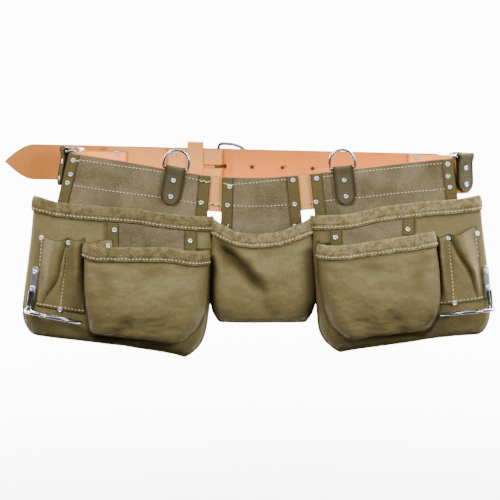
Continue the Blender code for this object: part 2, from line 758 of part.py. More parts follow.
def section_curve(pouch, down, count):
    """A pouch's level section as (across, forward) shares, evenly spaced from its outer to its inner edge."""
    wraps = []
    for column in (4, 5):
        wraps.append(math.radians(max(read_row(pouch.sections, down, column), 0.0)))
    fine = 96
    curve = []
    for step in range(fine + 1):
        turn = blend(-wraps[0], math.pi + wraps[1], step / fine)
        across = signed_power(math.cos(turn), SQUARENESS)
        wrap = signed_power(math.sin(wraps[0] if turn < math.pi / 2 else wraps[1]), SQUARENESS)
        forward = (signed_power(math.sin(turn), SQUARENESS) + wrap) / (1 + wrap)
        curve.append((across, forward))
    ratio = pouch.depth / pouch.half
    lengths = [0.0]
    for first, second in zip(curve, curve[1:]):
        lengths.append(lengths[-1] + math.hypot(second[0] - first[0], (second[1] - first[1]) * ratio))
    picked = []
    index = 0
    for step in range(count):
        target = lengths[-1] * step / (count - 1)
        while index < fine - 1 and lengths[index + 1] < target:
            index += 1
        span = lengths[index + 1] - lengths[index]
        share = min(max((target - lengths[index]) / span, 0.0), 1.0)
        first, second = curve[index], curve[index + 1]
        picked.append((blend(first[0], second[0], share), blend(first[1], second[1], share)))
    return picked


def pouch_x(pouch, across, down):
    """Place across for a share from 1 at the outer side to -1 at the inner side."""
    column = 1 if across > 0 else 2
    return pouch.centre + pouch.side * pouch.half * across * read_row(pouch.sections, down, column)


def rim_height(pouch, across):
    """Height of the mouth's edge."""
    return -pouch.rim_drop - pouch.rim_fall * read_row(pouch.rim, across)


def pouch_z(pouch, across, down):
    """Height for a share from 0 at the mouth to 1 at the bottom."""
    low = -pouch.bottom_drop - pouch.bottom_fall * read_row(pouch.bottom, across)
    return blend(rim_height(pouch, across), low, down)


def dent_depth(pouch, x, z):
    """How far the dents push the front back at a place."""
    total = 0.0
    for dent in pouch.dents:
        places = []
        for across, down in ((dent.from_across, dent.from_down), (dent.to_across, dent.to_down)):
            places.append(Vector((pouch_x(pouch, across, down), pouch_z(pouch, across, down))))
        start = places[0]
        way = places[1] - start
        share = min(max((Vector((x, z)) - start).dot(way) / way.length_squared, 0.0), 1.0)
        distance = (Vector((x, z)) - start - way * share).length
        width = dent.width * 2 * pouch.half
        ends = 1 - DENT_TAPER * abs(2 * share - 1) ** 4
        total += dent.depth * pouch.depth * math.exp(-((distance / width) ** 2)) * ends
    return total


def pouch_point(pouch, base, across, forward, down):
    """A point of the wall's middle surface; base gives the y that its back edge stands on."""
    x = pouch_x(pouch, across, down)
    z = pouch_z(pouch, across, down)
    depth = pouch.depth * read_row(pouch.sections, down, 3)
    push = dent_depth(pouch, x, z) * forward**3 * min(max(down / RIM_STIFF - 1, 0.0), 1.0)
    return Vector((x, base(x, z) - pouch.wall / 2 - depth * forward + push, z))


def flat_base(x, z):
    """The front face of a suede panel, less the gap."""
    return PANEL_FACE - GAP


def front_face(pouch, base, x, z):
    """The y of the outer face of a pouch's front at a place, with its wall's slope allowed for."""

    def middle(px, pz):
        down = 0.5
        across = 0.0
        for _ in range(6):
            column = 1 if (px - pouch.centre) * pouch.side > 0 else 2
            reach = pouch.half * read_row(pouch.sections, down, column)
            across = min(max((px - pouch.centre) * pouch.side / reach, -0.995), 0.995)
            high = pouch_z(pouch, across, 0.0)
            low = pouch_z(pouch, across, 1.0)
            down = min(max((high - pz) / (high - low), 0.0), 0.995)
        wrap = math.radians(read_row(pouch.sections, down, 4 if across > 0 else 5))
        wrap = signed_power(math.sin(max(wrap, 0.0)), SQUARENESS)
        sine = math.sqrt(max(1 - abs(across) ** (2 / SQUARENESS), 0.0))
        forward = (sine**SQUARENESS + wrap) / (1 + wrap)
        return pouch_point(pouch, base, across, forward, down).y

    step = 0.001
    slope_x = (middle(x + step, z) - middle(x - step, z)) / (2 * step)
    slope_z = (middle(x, z + step) - middle(x, z - step)) / (2 * step)
    stretch = min(math.sqrt(1 + slope_x**2 + slope_z**2), 2.5)
    return middle(x, z) - pouch.wall / 2 * stretch


def wing_x(pouch, outer, share):
    """The outer edge of a wing from the mouth, at 0, to its top, at 1."""
    across = flange_across(pouch, outer, 0.0)
    top = pouch.top_outer if outer else pouch.top_inner
    return blend(pouch_x(pouch, across, 0.0), top, share)


def flange_across(pouch, outer, down):
    """Where the wall's back edge lies across, at the outer or the inner side."""
    wrap = math.radians(max(read_row(pouch.sections, down, 4 if outer else 5), 0.0))
    return math.cos(wrap) ** SQUARENESS * (1 if outer else -1)


def wing_points(pouch, base, top_line, outer, inset, rows):
    """A line up a wing, at a distance in from its outer edge, from the mouth to its top."""
    inward = -pouch.side if outer else pouch.side
    across = flange_across(pouch, outer, 0.0)
    low = rim_height(pouch, across)
    points = []
    for row in range(1, rows + 1):
        share = row / rows
        x = wing_x(pouch, outer, share) + inward * inset
        z = blend(low, top_line(x), share)
        points.append(Vector((x, base(x, z) - pouch.wall / 2, z)))
    return points


def pouch_cage(pouch, base, top_line, columns, rows, wing_rows):
    """Points and faces of a pouch's wall: the bag's wall with a wing up each side of its back."""
    points = []
    faces = []
    for down in rows:
        line = []
        for across, forward in section_curve(pouch, down, columns):
            line.append(pouch_point(pouch, base, across, forward, down))
        points.append(line)
    count = columns + 2
    grid = []
    for row, line in enumerate(points):
        edges = []
        for outer, edge in ((True, line[0]), (False, line[-1])):
            inward = -pouch.side if outer else pouch.side
            x = edge.x + inward * WING_WIDTH
            edges.append(Vector((x, base(x, edge.z) - pouch.wall / 2, edge.z)))
        grid.append([edges[0], *line, edges[1]])
    corners = [point for line in grid for point in line]
    for row in range(len(rows) - 1):
        for column in range(count - 1):
            if row > 0 and column in (0, count - 2):
                continue
            first = row * count + column
            faces.append((first, first + 1, first + count + 1, first + count))
    for outer in (True, False):
        edge_index = 1 if outer else count - 2
        inner_index = 0 if outer else count - 1
        lines = [wing_points(pouch, base, top_line, outer, inset, wing_rows) for inset in (0.0, WING_WIDTH)]
        below = (edge_index, inner_index)
        for row in range(wing_rows):
            above = (len(corners), len(corners) + 1)
            corners.append(lines[0][row])
            corners.append(lines[1][row])
            faces.append((below[0], above[0], above[1], below[1]))
            below = above
    return corners, faces


def make_pouch(name, pouch, base, top_line, columns, leather, collection):
    """A pouch's wall as one shell."""
    corners, faces = pouch_cage(pouch, base, top_line, columns, POUCH_ROWS, WING_ROW_COUNT)
    piece = add_object(name, mesh_from(name, corners, faces), leather, collection)
    solidify(piece, pouch.wall)
    return piece


def make_binding(name, pouch, base, columns, leather, collection):
    """The folded strip over a pouch's mouth, a channel swept round the mouth with a gap to the wall."""
    count = columns

    grid = []
    for down in POUCH_ROWS[:2]:
        grid.append([pouch_point(pouch, base, *spot, down) for spot in section_curve(pouch, down, count)])

    def wall_point(index, distance):
        high, low = grid[0][index], grid[1][index]
        return high.lerp(low, min(distance / (low - high).length, 1.0))

    tops = [wall_point(index, 0.0) for index in range(count)]
    lows = [wall_point(index, BINDING_HEIGHT) for index in range(count)]
    insides = [wall_point(index, BINDING_INSIDE) for index in range(count)]
    near = pouch.wall / 2 + BINDING_GAP
    far = near + BINDING_WALL
    first = 2
    last = count - 3
    points = []
    for index in range(first, last + 1):
        along = (tops[index + 1] - tops[index - 1]).normalized()
        normal = along.cross((lows[index] - tops[index]).normalized()).normalized()
        middle_y = base(pouch.centre, 0) - pouch.depth / 2
        outward = Vector((tops[index].x - pouch.centre, tops[index].y - middle_y, 0))
        if normal.dot(outward) < 0:
            normal = -normal
        up = (tops[index] - lows[index]).normalized()
        outline = [
            lows[index] + normal * far,
            tops[index] + up * (BINDING_GAP + BINDING_WALL) + normal * far,
            tops[index] + up * (BINDING_GAP + BINDING_WALL) - normal * far,
            insides[index] - normal * far,
            insides[index] - normal * near,
            tops[index] + up * BINDING_GAP - normal * near,
            tops[index] + up * BINDING_GAP + normal * near,
            lows[index] + normal * near,
        ]
        points.extend(outline)
    faces = []
    sides = 8
    rings = last - first + 1
    for ring in range(rings - 1):
        for side in range(sides):
            low = ring * sides + side
            beside = ring * sides + (side + 1) % sides
            faces.append((low, beside, beside + sides, low + sides))
    end = (rings - 1) * sides
    for start in (0, end):
        faces.append((start, start + 1, start + 6, start + 7))
        faces.append((start + 1, start + 2, start + 5, start + 6))
        faces.append((start + 2, start + 3, start + 4, start + 5))
    return add_object(name, mesh_from(name, points, faces), leather, collection)


def make_back_wall(name, pouch, surface, wall, top_line, rows, columns, leather, collection):
    """The sheet behind a pouch, from its top edge down, as wide as the pouch's back edges."""
    rows_above, downs = rows
    lines = []
    for row in range(rows_above, 0, -1):
        share = row / rows_above
        left = wing_x(pouch, True, share)
        right = wing_x(pouch, False, share)
        low_left = rim_height(pouch, flange_across(pouch, True, 0.0))
        low_right = rim_height(pouch, flange_across(pouch, False, 0.0))
        line = []
        for column in range(columns):
            part = column / (columns - 1)
            x = blend(left, right, part)
            z = blend(blend(low_left, low_right, part), top_line(x), share)
            line.append((x, z))
        lines.append(line)
    for down in downs:
        left = flange_across(pouch, True, down)
        right = flange_across(pouch, False, down)
        line = []
        for column in range(columns):
            across = blend(left, right, column / (columns - 1))
            x = pouch_x(pouch, across, down)
            high_left = rim_height(pouch, left)
            high_right = rim_height(pouch, right)
            high = blend(high_left, high_right, column / (columns - 1))
            low = pouch_z(pouch, across, 1.0)
            line.append((x, blend(high, low, down)))
        lines.append(line)
    points = [Vector((x, surface(x, z) - wall / 2, z)) for line in lines for x, z in line]
    faces = []
    for row in range(len(lines) - 1):
        for column in range(columns - 1):
            first = row * columns + column
            faces.append((first, first + 1, first + columns + 1, first + columns))
    piece = add_object(name, mesh_from(name, points, faces), leather, collection)
    solidify(piece, wall)
    return piece


def make_holster(name, holster, base, leather, collection):
    """A piece sewn down at its ends and its middle, which stands off between them as two tool loops."""
    stops = ((0.0, 0.12, HOLSTER_BORDER, 0.42, 0.62, 0.84, 1.0), (0.08, 0.28, 0.5, 0.72, 0.92, 1.0))
    downs = (0.0, 0.18, 0.42, 0.66, 0.87, 1.0)
    points = []
    for down in downs:
        seams = [
            blend(holster.outer_top, holster.outer_low, down),
            blend(holster.seam_top, holster.seam_low, down),
            blend(holster.inner_top, holster.inner_low, down),
        ]
        line = []
        for loop in (0, 1):
            for stop in stops[loop]:
                x = blend(seams[loop], seams[loop + 1], stop)
                arch = stop if loop == 1 else max(stop - HOLSTER_BORDER, 0.0) / (1 - HOLSTER_BORDER)
                part = (x - seams[0]) / (seams[2] - seams[0])
                z = blend(holster.top, blend(holster.low_outer, holster.low_inner, part), down)
                z -= HOLSTER_SCOOP * math.sin(math.pi * arch) * (1 - down)
                hump = math.sin(math.pi * arch) ** 0.7 if 0 < arch < 1 else 0.0
                taper = max(1 - down**2.2, 0.0)
                reach = holster.bulge * hump * taper
                line.append(Vector((x, base(x, z) - GAP - HOLSTER_WALL / 2 - reach, z)))
        x = seams[2] - math.copysign(HOLSTER_TUCK, seams[0] - seams[2])
        z = line[-1].z
        line.append(Vector((x, base(x, z) - GAP - HOLSTER_WALL / 2, z)))
        points.append(line)
    count = len(points[0])
    corners = [point for line in points for point in line]
    faces = []
    for row in range(len(downs) - 1):
        for column in range(count - 1):
            first = row * count + column
            faces.append((first, first + 1, first + count + 1, first + count))
    piece = add_object(name, mesh_from(name, corners, faces), leather, collection)
    solidify(piece, HOLSTER_WALL)
    return piece


def make_rivet(name, spot, out, grip, steel, collection, holes):
    """A rivet: a domed head in front of spot, a shank through the grip behind it, and a flat tail."""
    profile = [
        (0.0, RIVET_DOME + GAP),
        (RIVET_HEAD, GAP),
        (RIVET_SHANK, GAP),
        (RIVET_SHANK, -grip - GAP),
        (RIVET_TAIL, -grip - GAP),
        (RIVET_TAIL, -grip - GAP - RIVET_TAIL_THICK),
        (0.0, -grip - GAP - RIVET_TAIL_THICK),
    ]
    mesh = bpy.data.meshes.new(name)
    mesh.from_pydata([(x, 0.0, z) for x, z in profile], [(i, i + 1) for i in range(len(profile) - 1)], [])
    piece = add_object(name, mesh, steel, collection)
    turn = piece.modifiers.new("Turned", "SCREW")
    turn.steps = RIVET_SIDES
    turn.render_steps = RIVET_SIDES
    turn.use_merge_vertices = True
    turn.merge_threshold = 0.00001
    piece.location = spot
    piece.rotation_euler = out.to_track_quat("Z", "Y").to_euler()
    place = Matrix.Translation(spot - out * grip / 2) @ out.to_track_quat("Z", "Y").to_matrix().to_4x4()
    bmesh.ops.create_cone(
        holes, cap_ends=True, segments=RIVET_SIDES, radius1=RIVET_SHANK + GAP, radius2=RIVET_SHANK + GAP,
        depth=grip + 4 * RIVET_DOME, matrix=place,
    )


def make_cutter(name, work, cutters):
    """A hidden cutting shape from a bmesh."""
    mesh = bpy.data.meshes.new(name)
    work.to_mesh(mesh)
    work.free()
    cutter = bpy.data.objects.new(name, mesh)
    cutters.objects.link(cutter)
    cutter.hide_render = True
    cutter.display_type = "WIRE"
    return cutter


def loop_frame(loop, base):
    """The middle of a hammer loop's plate on the pouch, with its up and out directions."""
    low_z = loop.top_z - PLATE_HEIGHT
    x = (loop.top_x + loop.low_x) / 2
    z = (loop.top_z + low_z) / 2
    step = 0.004
    slope_x = (base(x + step, z) - base(x - step, z)) / (2 * step)
    slope_z = (base(x, z + step) - base(x, z - step)) / (2 * step)
    out = Vector((slope_x, -1.0, slope_z)).normalized()
    up = Vector((loop.top_x - loop.low_x, 0, loop.top_z - low_z)).normalized()
    up = (up - out * up.dot(out)).normalized()
    spot = Vector((x, base(x, z), z)) + out * PLATE_STAND
    return spot, up, out


def make_hammer_loop(name, loop, base, steel, collection, cutters, holes):
    """A steel plate with a bent wire ring welded to its lower end."""
    spot, up, out = loop_frame(loop, base)
    along = up.cross(out).normalized()
    work = bmesh.new()
    bmesh.ops.create_cube(work, size=1.0)
    bmesh.ops.scale(work, vec=(PLATE_WIDTH, PLATE_THICK, PLATE_HEIGHT), verts=work.verts)
    mesh = bpy.data.meshes.new(name)
    work.to_mesh(mesh)
    work.free()
    plate = add_object(name, mesh, steel, collection)
    basis = Matrix((along, up.cross(along), up)).transposed().to_4x4()
    plate.matrix_world = Matrix.Translation(spot + out * PLATE_THICK / 2) @ basis
    edge = plate.modifiers.new("Edge", "BEVEL")
    edge.width = PLATE_BEVEL
    edge.segments = 1
    front = spot + out * (PLATE_THICK + LOOP_WIRE - STEM_WELD)
    weld_top = front - up * (PLATE_HEIGHT / 2 - STEM_OVERLAP)
    weld_low = front - up * (PLATE_HEIGHT / 2 + STEM_DROP)
    outward = Vector((loop.side, 0, 0))
    if along.dot(outward) < 0:
        along = -along
    half_width = LOOP_WIDTH / 2 - LOOP_WIRE
    half_reach = LOOP_REACH / 2 - LOOP_WIRE
    ring = []
    for step in range(13):
        turn = math.radians(blend(RING_START, -180, step / 12))
        side_way = half_width * math.cos(turn)
        place = Vector((loop.ring_x, loop.ring_y, loop.ring_z))
        place += Vector((-side_way * loop.side, half_reach * math.sin(turn), -side_way * loop.ring_fall))
        ring.append(place)
    inner_stem = [weld_top - along * STEM_SPREAD, weld_low - along * STEM_SPREAD]
    outer_stem = [weld_low + along * STEM_SPREAD, weld_top + along * STEM_SPREAD]
    hook = ring[-1].lerp(outer_stem[0], 0.5) + outward * LOOP_WIRE
    route = [*inner_stem, *ring, hook, *outer_stem]
    ring_wire = to_mesh_object(wire(name + "_wire", route, LOOP_WIRE, None, cutters))
    ring_wire.hide_render = True
    ring_wire.display_type = "WIRE"
    cut(plate, ring_wire, "UNION")
    grip = PLATE_THICK + PLATE_STAND + POUCH_WALL + PLATE_SLACK
    for index, height in enumerate(PLATE_RIVETS):
        place = spot + out * PLATE_THICK + up * height
        make_rivet("%s_rivet_%d" % (name, index + 1), place, out, grip, steel, collection, holes)
    return plate


def make_tab_rivets(steel, collection, holes):
    """Two rivets through each ring tab and what is behind it."""
    for name, (spot, up, out) in tab_frames().items():
        grip = TAB_FACE + BELT_THICK + CURVE_SLACK
        if name.startswith("front"):
            grip = TAB_FACE + PANEL_WALL + BELT_THICK + 2 * GAP
        elif name == "end_left":
            grip += LEFT_TAB_SHIFT * math.tan(LEFT_TAB_TURN)
        for index, height in enumerate(TAB_RIVETS):
            place = spot + out * TAB_FACE + up * height
            label = "tab_rivet_%s_%d" % (name, index + 1)
            make_rivet(label, place, out, grip, steel, collection, holes)


def cut_strap_holes(strap, billet, cutters):
    """The billet's punched holes and the slot for the prong."""
    work = bmesh.new()
    for index in range(HOLE_COUNT):
        x = HOLE_FIRST + index * HOLE_PITCH
        place = Matrix.Translation((x, BILLET_Y, back_height(x))) @ Matrix.Rotation(math.pi / 2, 4, "X")
        bmesh.ops.create_cone(
            work, cap_ends=True, segments=RIVET_SIDES, radius1=HOLE_RADIUS, radius2=HOLE_RADIUS,
            depth=LOOP_DEPTH / 2, matrix=place,
        )
    cut(billet, make_cutter("billet_holes", work, cutters))
    work = bmesh.new()
    bmesh.ops.create_cube(work, size=1.0)
    length = SLOT_LENGTH + 2 * FOLD_RADIUS
    bmesh.ops.scale(work, vec=(length, LOOP_DEPTH / 2, SLOT_HEIGHT), verts=work.verts)
    middle = BAR_X - SLOT_LENGTH + length / 2
    bmesh.ops.translate(work, vec=(middle, BAR_Y, back_height(BAR_X)), verts=work.verts)
    cut(strap, make_cutter("prong_slot", work, cutters))


def main():
    """Builds the apron."""
    for old in list(bpy.data.objects):
        bpy.data.objects.remove(old)
    collection = bpy.data.collections.new("carpenter_nail_apron")
    cutters = bpy.data.collections.new("cutters")
    bpy.context.scene.collection.children.link(collection)
    bpy.context.scene.collection.children.link(cutters)
    tan_leather = new_material("tan_leather", (0.62, 0.33, 0.17), 0.55)
    brown_leather = new_material("brown_leather", (0.20, 0.15, 0.065), 0.45)
    suede = new_material("suede", (0.24, 0.19, 0.115), 0.9)
    tab_leather = new_material("tab_leather", (0.11, 0.085, 0.05), 0.6)
    chrome = new_material("chrome", (0.75, 0.76, 0.78), 0.15, 1.0)
    zinc = new_material("zinc", (0.62, 0.66, 0.70), 0.3, 1.0)
    holes = bmesh.new()
    band, strap, billet = make_straps(tan_leather, collection)
    make_buckle(chrome, collection)
    cut_strap_holes(strap, billet, cutters)
    riveted = [band]
    for name, frame in tab_frames().items():
        riveted.append(make_tab(name, frame, tab_leather, collection))
        make_ring(name, frame, chrome, collection)
    make_tab_rivets(zinc, collection, holes)

    def belt_top(x):
        return band_edge(x) - PANEL_EDGE

    def behind_panel(x, z):
        return FRONT_Y - GAP

    for name, pouch in (("left", LEFT_POUCH), ("center", CENTER_POUCH), ("right", RIGHT_POUCH)):
        panel = make_back_wall(
            "panel_" + name, pouch, behind_panel, PANEL_WALL, belt_top, PANEL_ROWS, PANEL_COLUMNS,
            suede, collection,
        )
        bag = make_pouch(
            "pouch_" + name, pouch, flat_base, belt_top, POUCH_COLUMNS, brown_leather, collection
        )
        riveted += [panel, bag]
        make_binding("binding_" + name, pouch, flat_base, POUCH_COLUMNS, suede, collection)

    sides = (
        ("left", LEFT_POUCH, LEFT_SMALL, LEFT_HOLSTER, LEFT_LOOP),
        ("right", RIGHT_POUCH, RIGHT_SMALL, RIGHT_HOLSTER, RIGHT_LOOP),
    )
    for name, pouch, small, holster, loop in sides:

        def on_pouch(x, z, pouch=pouch):
            return front_face(pouch, flat_base, x, z)

        def on_seat(x, z, pouch=pouch):
            return front_face(pouch, flat_base, x, z) - SEAT_GAP

        def on_back(x, z, pouch=pouch):
            return front_face(pouch, flat_base, x, z) - SEAT_GAP - SMALL_BACK_WALL - PATCH_GAP

        def under_binding(x, pouch=pouch):
            across = (x - pouch.centre) * pouch.side / pouch.half
            return rim_height(pouch, across) - BINDING_HEIGHT - 0.001

        make_back_wall(
            "small_back_" + name, small, on_seat, SMALL_BACK_WALL, under_binding, PATCH_ROWS, PATCH_COLUMNS,
            suede, collection,
        )
        make_pouch(
            "small_pouch_" + name, small, on_back, under_binding, SMALL_COLUMNS, brown_leather, collection
        )
        make_binding("small_binding_" + name, small, on_back, SMALL_COLUMNS, suede, collection)
        riveted.append(make_holster("tool_holster_" + name, holster, on_pouch, brown_leather, collection))
        plate = make_hammer_loop("hammer_loop_" + name, loop, on_pouch, zinc, collection, cutters, holes)
        riveted.append(plate)
    rivet_holes = make_cutter("rivet_holes", holes, cutters)
    for piece in riveted:
        cut(piece, rivet_holes)


main()
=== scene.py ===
# %% [markdown]
# # A carpenter's nail apron
# The apron is a belt with three suede panels, five leather pouches, two tool holsters and some steel rings.
# The lesson loads the measured frame, then makes each leather, thread and metal piece over it.
# Everything is in metres, +Z is up and the front of the apron faces -Y.

# %% Load the frame
import math
from collections import namedtuple

import bmesh
import bpy
import numpy as np
from mathutils import Matrix, Vector, noise


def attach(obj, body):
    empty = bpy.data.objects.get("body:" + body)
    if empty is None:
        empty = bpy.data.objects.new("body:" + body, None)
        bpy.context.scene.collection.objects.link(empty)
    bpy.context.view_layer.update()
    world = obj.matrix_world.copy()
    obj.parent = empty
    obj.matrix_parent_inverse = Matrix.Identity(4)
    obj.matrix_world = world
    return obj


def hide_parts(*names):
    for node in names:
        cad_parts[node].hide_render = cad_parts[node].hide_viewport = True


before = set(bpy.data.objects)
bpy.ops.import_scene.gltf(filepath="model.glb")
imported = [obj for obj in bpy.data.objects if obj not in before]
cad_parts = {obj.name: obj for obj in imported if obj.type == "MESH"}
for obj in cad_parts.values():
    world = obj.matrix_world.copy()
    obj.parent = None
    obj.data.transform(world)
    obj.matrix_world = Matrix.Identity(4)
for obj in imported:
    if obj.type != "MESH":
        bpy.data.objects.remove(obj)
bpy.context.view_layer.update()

# %% [markdown]
# ## Camera, backdrop and light
# The studio is a white sweep under soft lamps. The floor and the wall could be two planes, but one bent sheet
# leaves no line behind the apron. A long lens keeps the pouches as flat as in the photo. It sits 3.2 m away
# and 4.5 degrees above the belt. The shift puts the belt's middle where the photo has it, so the camera
# itself can look straight at the origin.

# %% Camera


def add_object(name, data):
    """An object of the scene with its mesh, curve, light or camera."""
    made = bpy.data.objects.new(name, data)
    bpy.context.scene.collection.objects.link(made)
    return made


CAMERA_DISTANCE = 3.2
CAMERA_RISE = math.radians(4.5)
FLOOR_Z = -0.55
FLOOR_FRONT = 0.15
BACK_WALL = 3.7
WALL_TOP = 4.0
WALL_HALF_WIDTH = 8.0
camera_data = bpy.data.cameras.new("camera")
camera_data.sensor_width = 36.0
camera_data.lens = 162.0
camera_data.shift_x = -0.028
camera_data.shift_y = -0.170
camera_data.dof.use_dof = False
camera = add_object("camera", camera_data)
camera.location = (0, -CAMERA_DISTANCE * math.cos(CAMERA_RISE), CAMERA_DISTANCE * math.sin(CAMERA_RISE))
camera.rotation_euler = (math.pi / 2 - CAMERA_RISE, 0, 0)
bpy.context.scene.camera = camera
print("lens", camera_data.lens, "mm")

# %% Lamps


def add_light(name, place, target, size, power):
    """A square soft white light aimed at a point."""
    data = bpy.data.lights.new(name, "AREA")
    data.size = size
    data.energy = power
    lamp = add_object(name, data)
    lamp.location = place
    lamp.rotation_euler = (Vector(target) - Vector(place)).to_track_quat("-Z", "Y").to_euler()


add_light("key", (-1.2, -2.3, 1.5), (0, 0, -0.12), 0.9, 98)
add_light("fill", (1.9, -2.0, 0.8), (0, 0, -0.12), 1.0, 80)
add_light("top", (0.1, -0.1, 1.9), (0, 0, -0.1), 0.9, 16)
for side in (-1, 1):
    add_light("floor_wash", (side * 1.6, 0.9, 1.0), (side * 0.8, 2.2, -0.2), 1.6, 300)
    add_light("wall_wash", (side * 1.9, 2.6, 1.6), (side * 0.5, BACK_WALL, -0.2), 1.2, 330)

world = bpy.data.worlds.new("studio")
world.use_nodes = True
sky = world.node_tree.nodes["Background"]
sky.inputs["Color"].default_value = (1, 1, 1, 1)
sky.inputs["Strength"].default_value = 0.14
bpy.context.scene.world = world

print("lamps", len(bpy.data.lights))

# %% Backdrop
# The floor runs up into the wall in a bend of one metre's radius
sweep = [(FLOOR_FRONT, FLOOR_Z)]
for turn in np.radians(np.linspace(0, 90, 13)):
    sweep.append((BACK_WALL - 1 + math.sin(turn), FLOOR_Z + 1 - math.cos(turn)))
sweep.append((BACK_WALL, WALL_TOP))
backdrop_mesh = bpy.data.meshes.new("backdrop")
points = [(x, y, z) for y, z in sweep for x in (-WALL_HALF_WIDTH, WALL_HALF_WIDTH)]
strips = [(2 * i, 2 * i + 1, 2 * i + 3, 2 * i + 2) for i in range(len(sweep) - 1)]
backdrop_mesh.from_pydata(points, [], strips)
for polygon in backdrop_mesh.polygons:
    polygon.use_smooth = True
backdrop = add_object("backdrop", backdrop_mesh)
print("backdrop", len(strips), "strips")

# %% [markdown]
# ## Materials
# The apron is oiled brown leather, rough suede, a pale belt, waxed thread and plated steel. Painted pictures
# could dress it, but noise in each piece's own space needs no unwrapping and shows no seam. Three shader
# groups are shared. One mottles a colour with large and fine noise, one turns noise into a bump, and one
# makes a metal's shine uneven. Each material then sets its own amounts on its Principled shader.

# %% Helpers for shader groups


def make_group(name, inputs, outputs):
    """An empty shader group with named sockets; gives the tree and its two ends."""
    tree = bpy.data.node_groups.new(name, "ShaderNodeTree")
    for socket, kind, value in inputs:
        made = tree.interface.new_socket(name=socket, in_out="INPUT", socket_type=kind)
        made.default_value = value
    for socket, kind in outputs:
        tree.interface.new_socket(name=socket, in_out="OUTPUT", socket_type=kind)
    return tree, tree.nodes.new("NodeGroupInput"), tree.nodes.new("NodeGroupOutput")


def add_noise(tree, vector, scale, detail=3.0, rough=0.55):
    """A noise texture read at a vector socket."""
    texture = tree.nodes.new("ShaderNodeTexNoise")
    texture.inputs["Scale"].default_value = scale
    texture.inputs["Detail"].default_value = detail
    texture.inputs["Roughness"].default_value = rough
    tree.links.new(vector, texture.inputs["Vector"])
    return texture.outputs["Fac"]


def add_math(tree, operation, first, second):
    """A math node on sockets or numbers."""
    node = tree.nodes.new("ShaderNodeMath")
    node.operation = operation
    for socket, value in zip(node.inputs, (first, second)):
        if isinstance(value, (int, float)):
            socket.default_value = value
        else:
            tree.links.new(value, socket)
    return node.outputs[0]


COLOR, FLOAT, VECTOR = "NodeSocketColor", "NodeSocketFloat", "NodeSocketVector"
print("sockets", COLOR, FLOAT, VECTOR)

# %% Mottled colour
mottle, mottle_in, mottle_out = make_group(
    "mottle",
    [("Vector", VECTOR, (0, 0, 0)), ("Light", COLOR, (1, 1, 1, 1)), ("Dark", COLOR, (0, 0, 0, 1)),
     ("Patch", FLOAT, 18.0), ("Fine", FLOAT, 400.0), ("Contrast", FLOAT, 1.0)],
    [("Color", COLOR), ("Mask", FLOAT)],
)
patches = mottle.nodes.new("ShaderNodeTexNoise")
patches.inputs["Detail"].default_value = 4.0
patches.inputs["Roughness"].default_value = 0.6
fine = mottle.nodes.new("ShaderNodeTexNoise")
fine.inputs["Detail"].default_value = 3.0
for texture, socket in ((patches, "Patch"), (fine, "Fine")):
    mottle.links.new(mottle_in.outputs["Vector"], texture.inputs["Vector"])
    mottle.links.new(mottle_in.outputs[socket], texture.inputs["Scale"])
wide = add_math(mottle, "MULTIPLY", patches.outputs["Fac"], 0.62)
narrow = add_math(mottle, "MULTIPLY", fine.outputs["Fac"], 0.38)
total = add_math(mottle, "SUBTRACT", add_math(mottle, "ADD", wide, narrow), 0.5)
mask = add_math(mottle, "ADD", add_math(mottle, "MULTIPLY", total, mottle_in.outputs["Contrast"]), 0.5)
mixed = mottle.nodes.new("ShaderNodeMix")
mixed.data_type = "RGBA"
mottle.links.new(mask, mixed.inputs[0])
mottle.links.new(mottle_in.outputs["Dark"], mixed.inputs[6])
mottle.links.new(mottle_in.outputs["Light"], mixed.inputs[7])
mottle.links.new(mixed.outputs[2], mottle_out.inputs["Color"])
mottle.links.new(mask, mottle_out.inputs["Mask"])
print(mottle.name, len(mottle.nodes), "nodes")

# %% Grain and creases
relief, relief_in, relief_out = make_group(
    "relief",
    [("Vector", VECTOR, (0, 0, 0)), ("Grain", FLOAT, 900.0), ("Crease", FLOAT, 70.0), ("Pores", FLOAT, 0.5),
     ("Strength", FLOAT, 0.3), ("Distance", FLOAT, 0.0008)],
    [("Normal", VECTOR)],
)
cells = relief.nodes.new("ShaderNodeTexVoronoi")
cells.feature = "DISTANCE_TO_EDGE"
relief.links.new(relief_in.outputs["Vector"], cells.inputs["Vector"])
relief.links.new(relief_in.outputs["Grain"], cells.inputs["Scale"])
creases = relief.nodes.new("ShaderNodeTexNoise")
creases.inputs["Detail"].default_value = 6.0
creases.inputs["Roughness"].default_value = 0.62
level = relief.nodes.new("ShaderNodeMapping")
level.inputs["Scale"].default_value = (1.0, 1.0, 2.4)
relief.links.new(relief_in.outputs["Vector"], level.inputs["Vector"])
relief.links.new(level.outputs["Vector"], creases.inputs["Vector"])
relief.links.new(relief_in.outputs["Crease"], creases.inputs["Scale"])
pores = add_math(relief, "MULTIPLY", cells.outputs["Distance"], relief_in.outputs["Pores"])
height = add_math(relief, "ADD", pores, creases.outputs["Fac"])
bump = relief.nodes.new("ShaderNodeBump")
relief.links.new(height, bump.inputs["Height"])
relief.links.new(relief_in.outputs["Strength"], bump.inputs["Strength"])
relief.links.new(relief_in.outputs["Distance"], bump.inputs["Distance"])
relief.links.new(bump.outputs["Normal"], relief_out.inputs["Normal"])
print(relief.name, len(relief.nodes), "nodes")

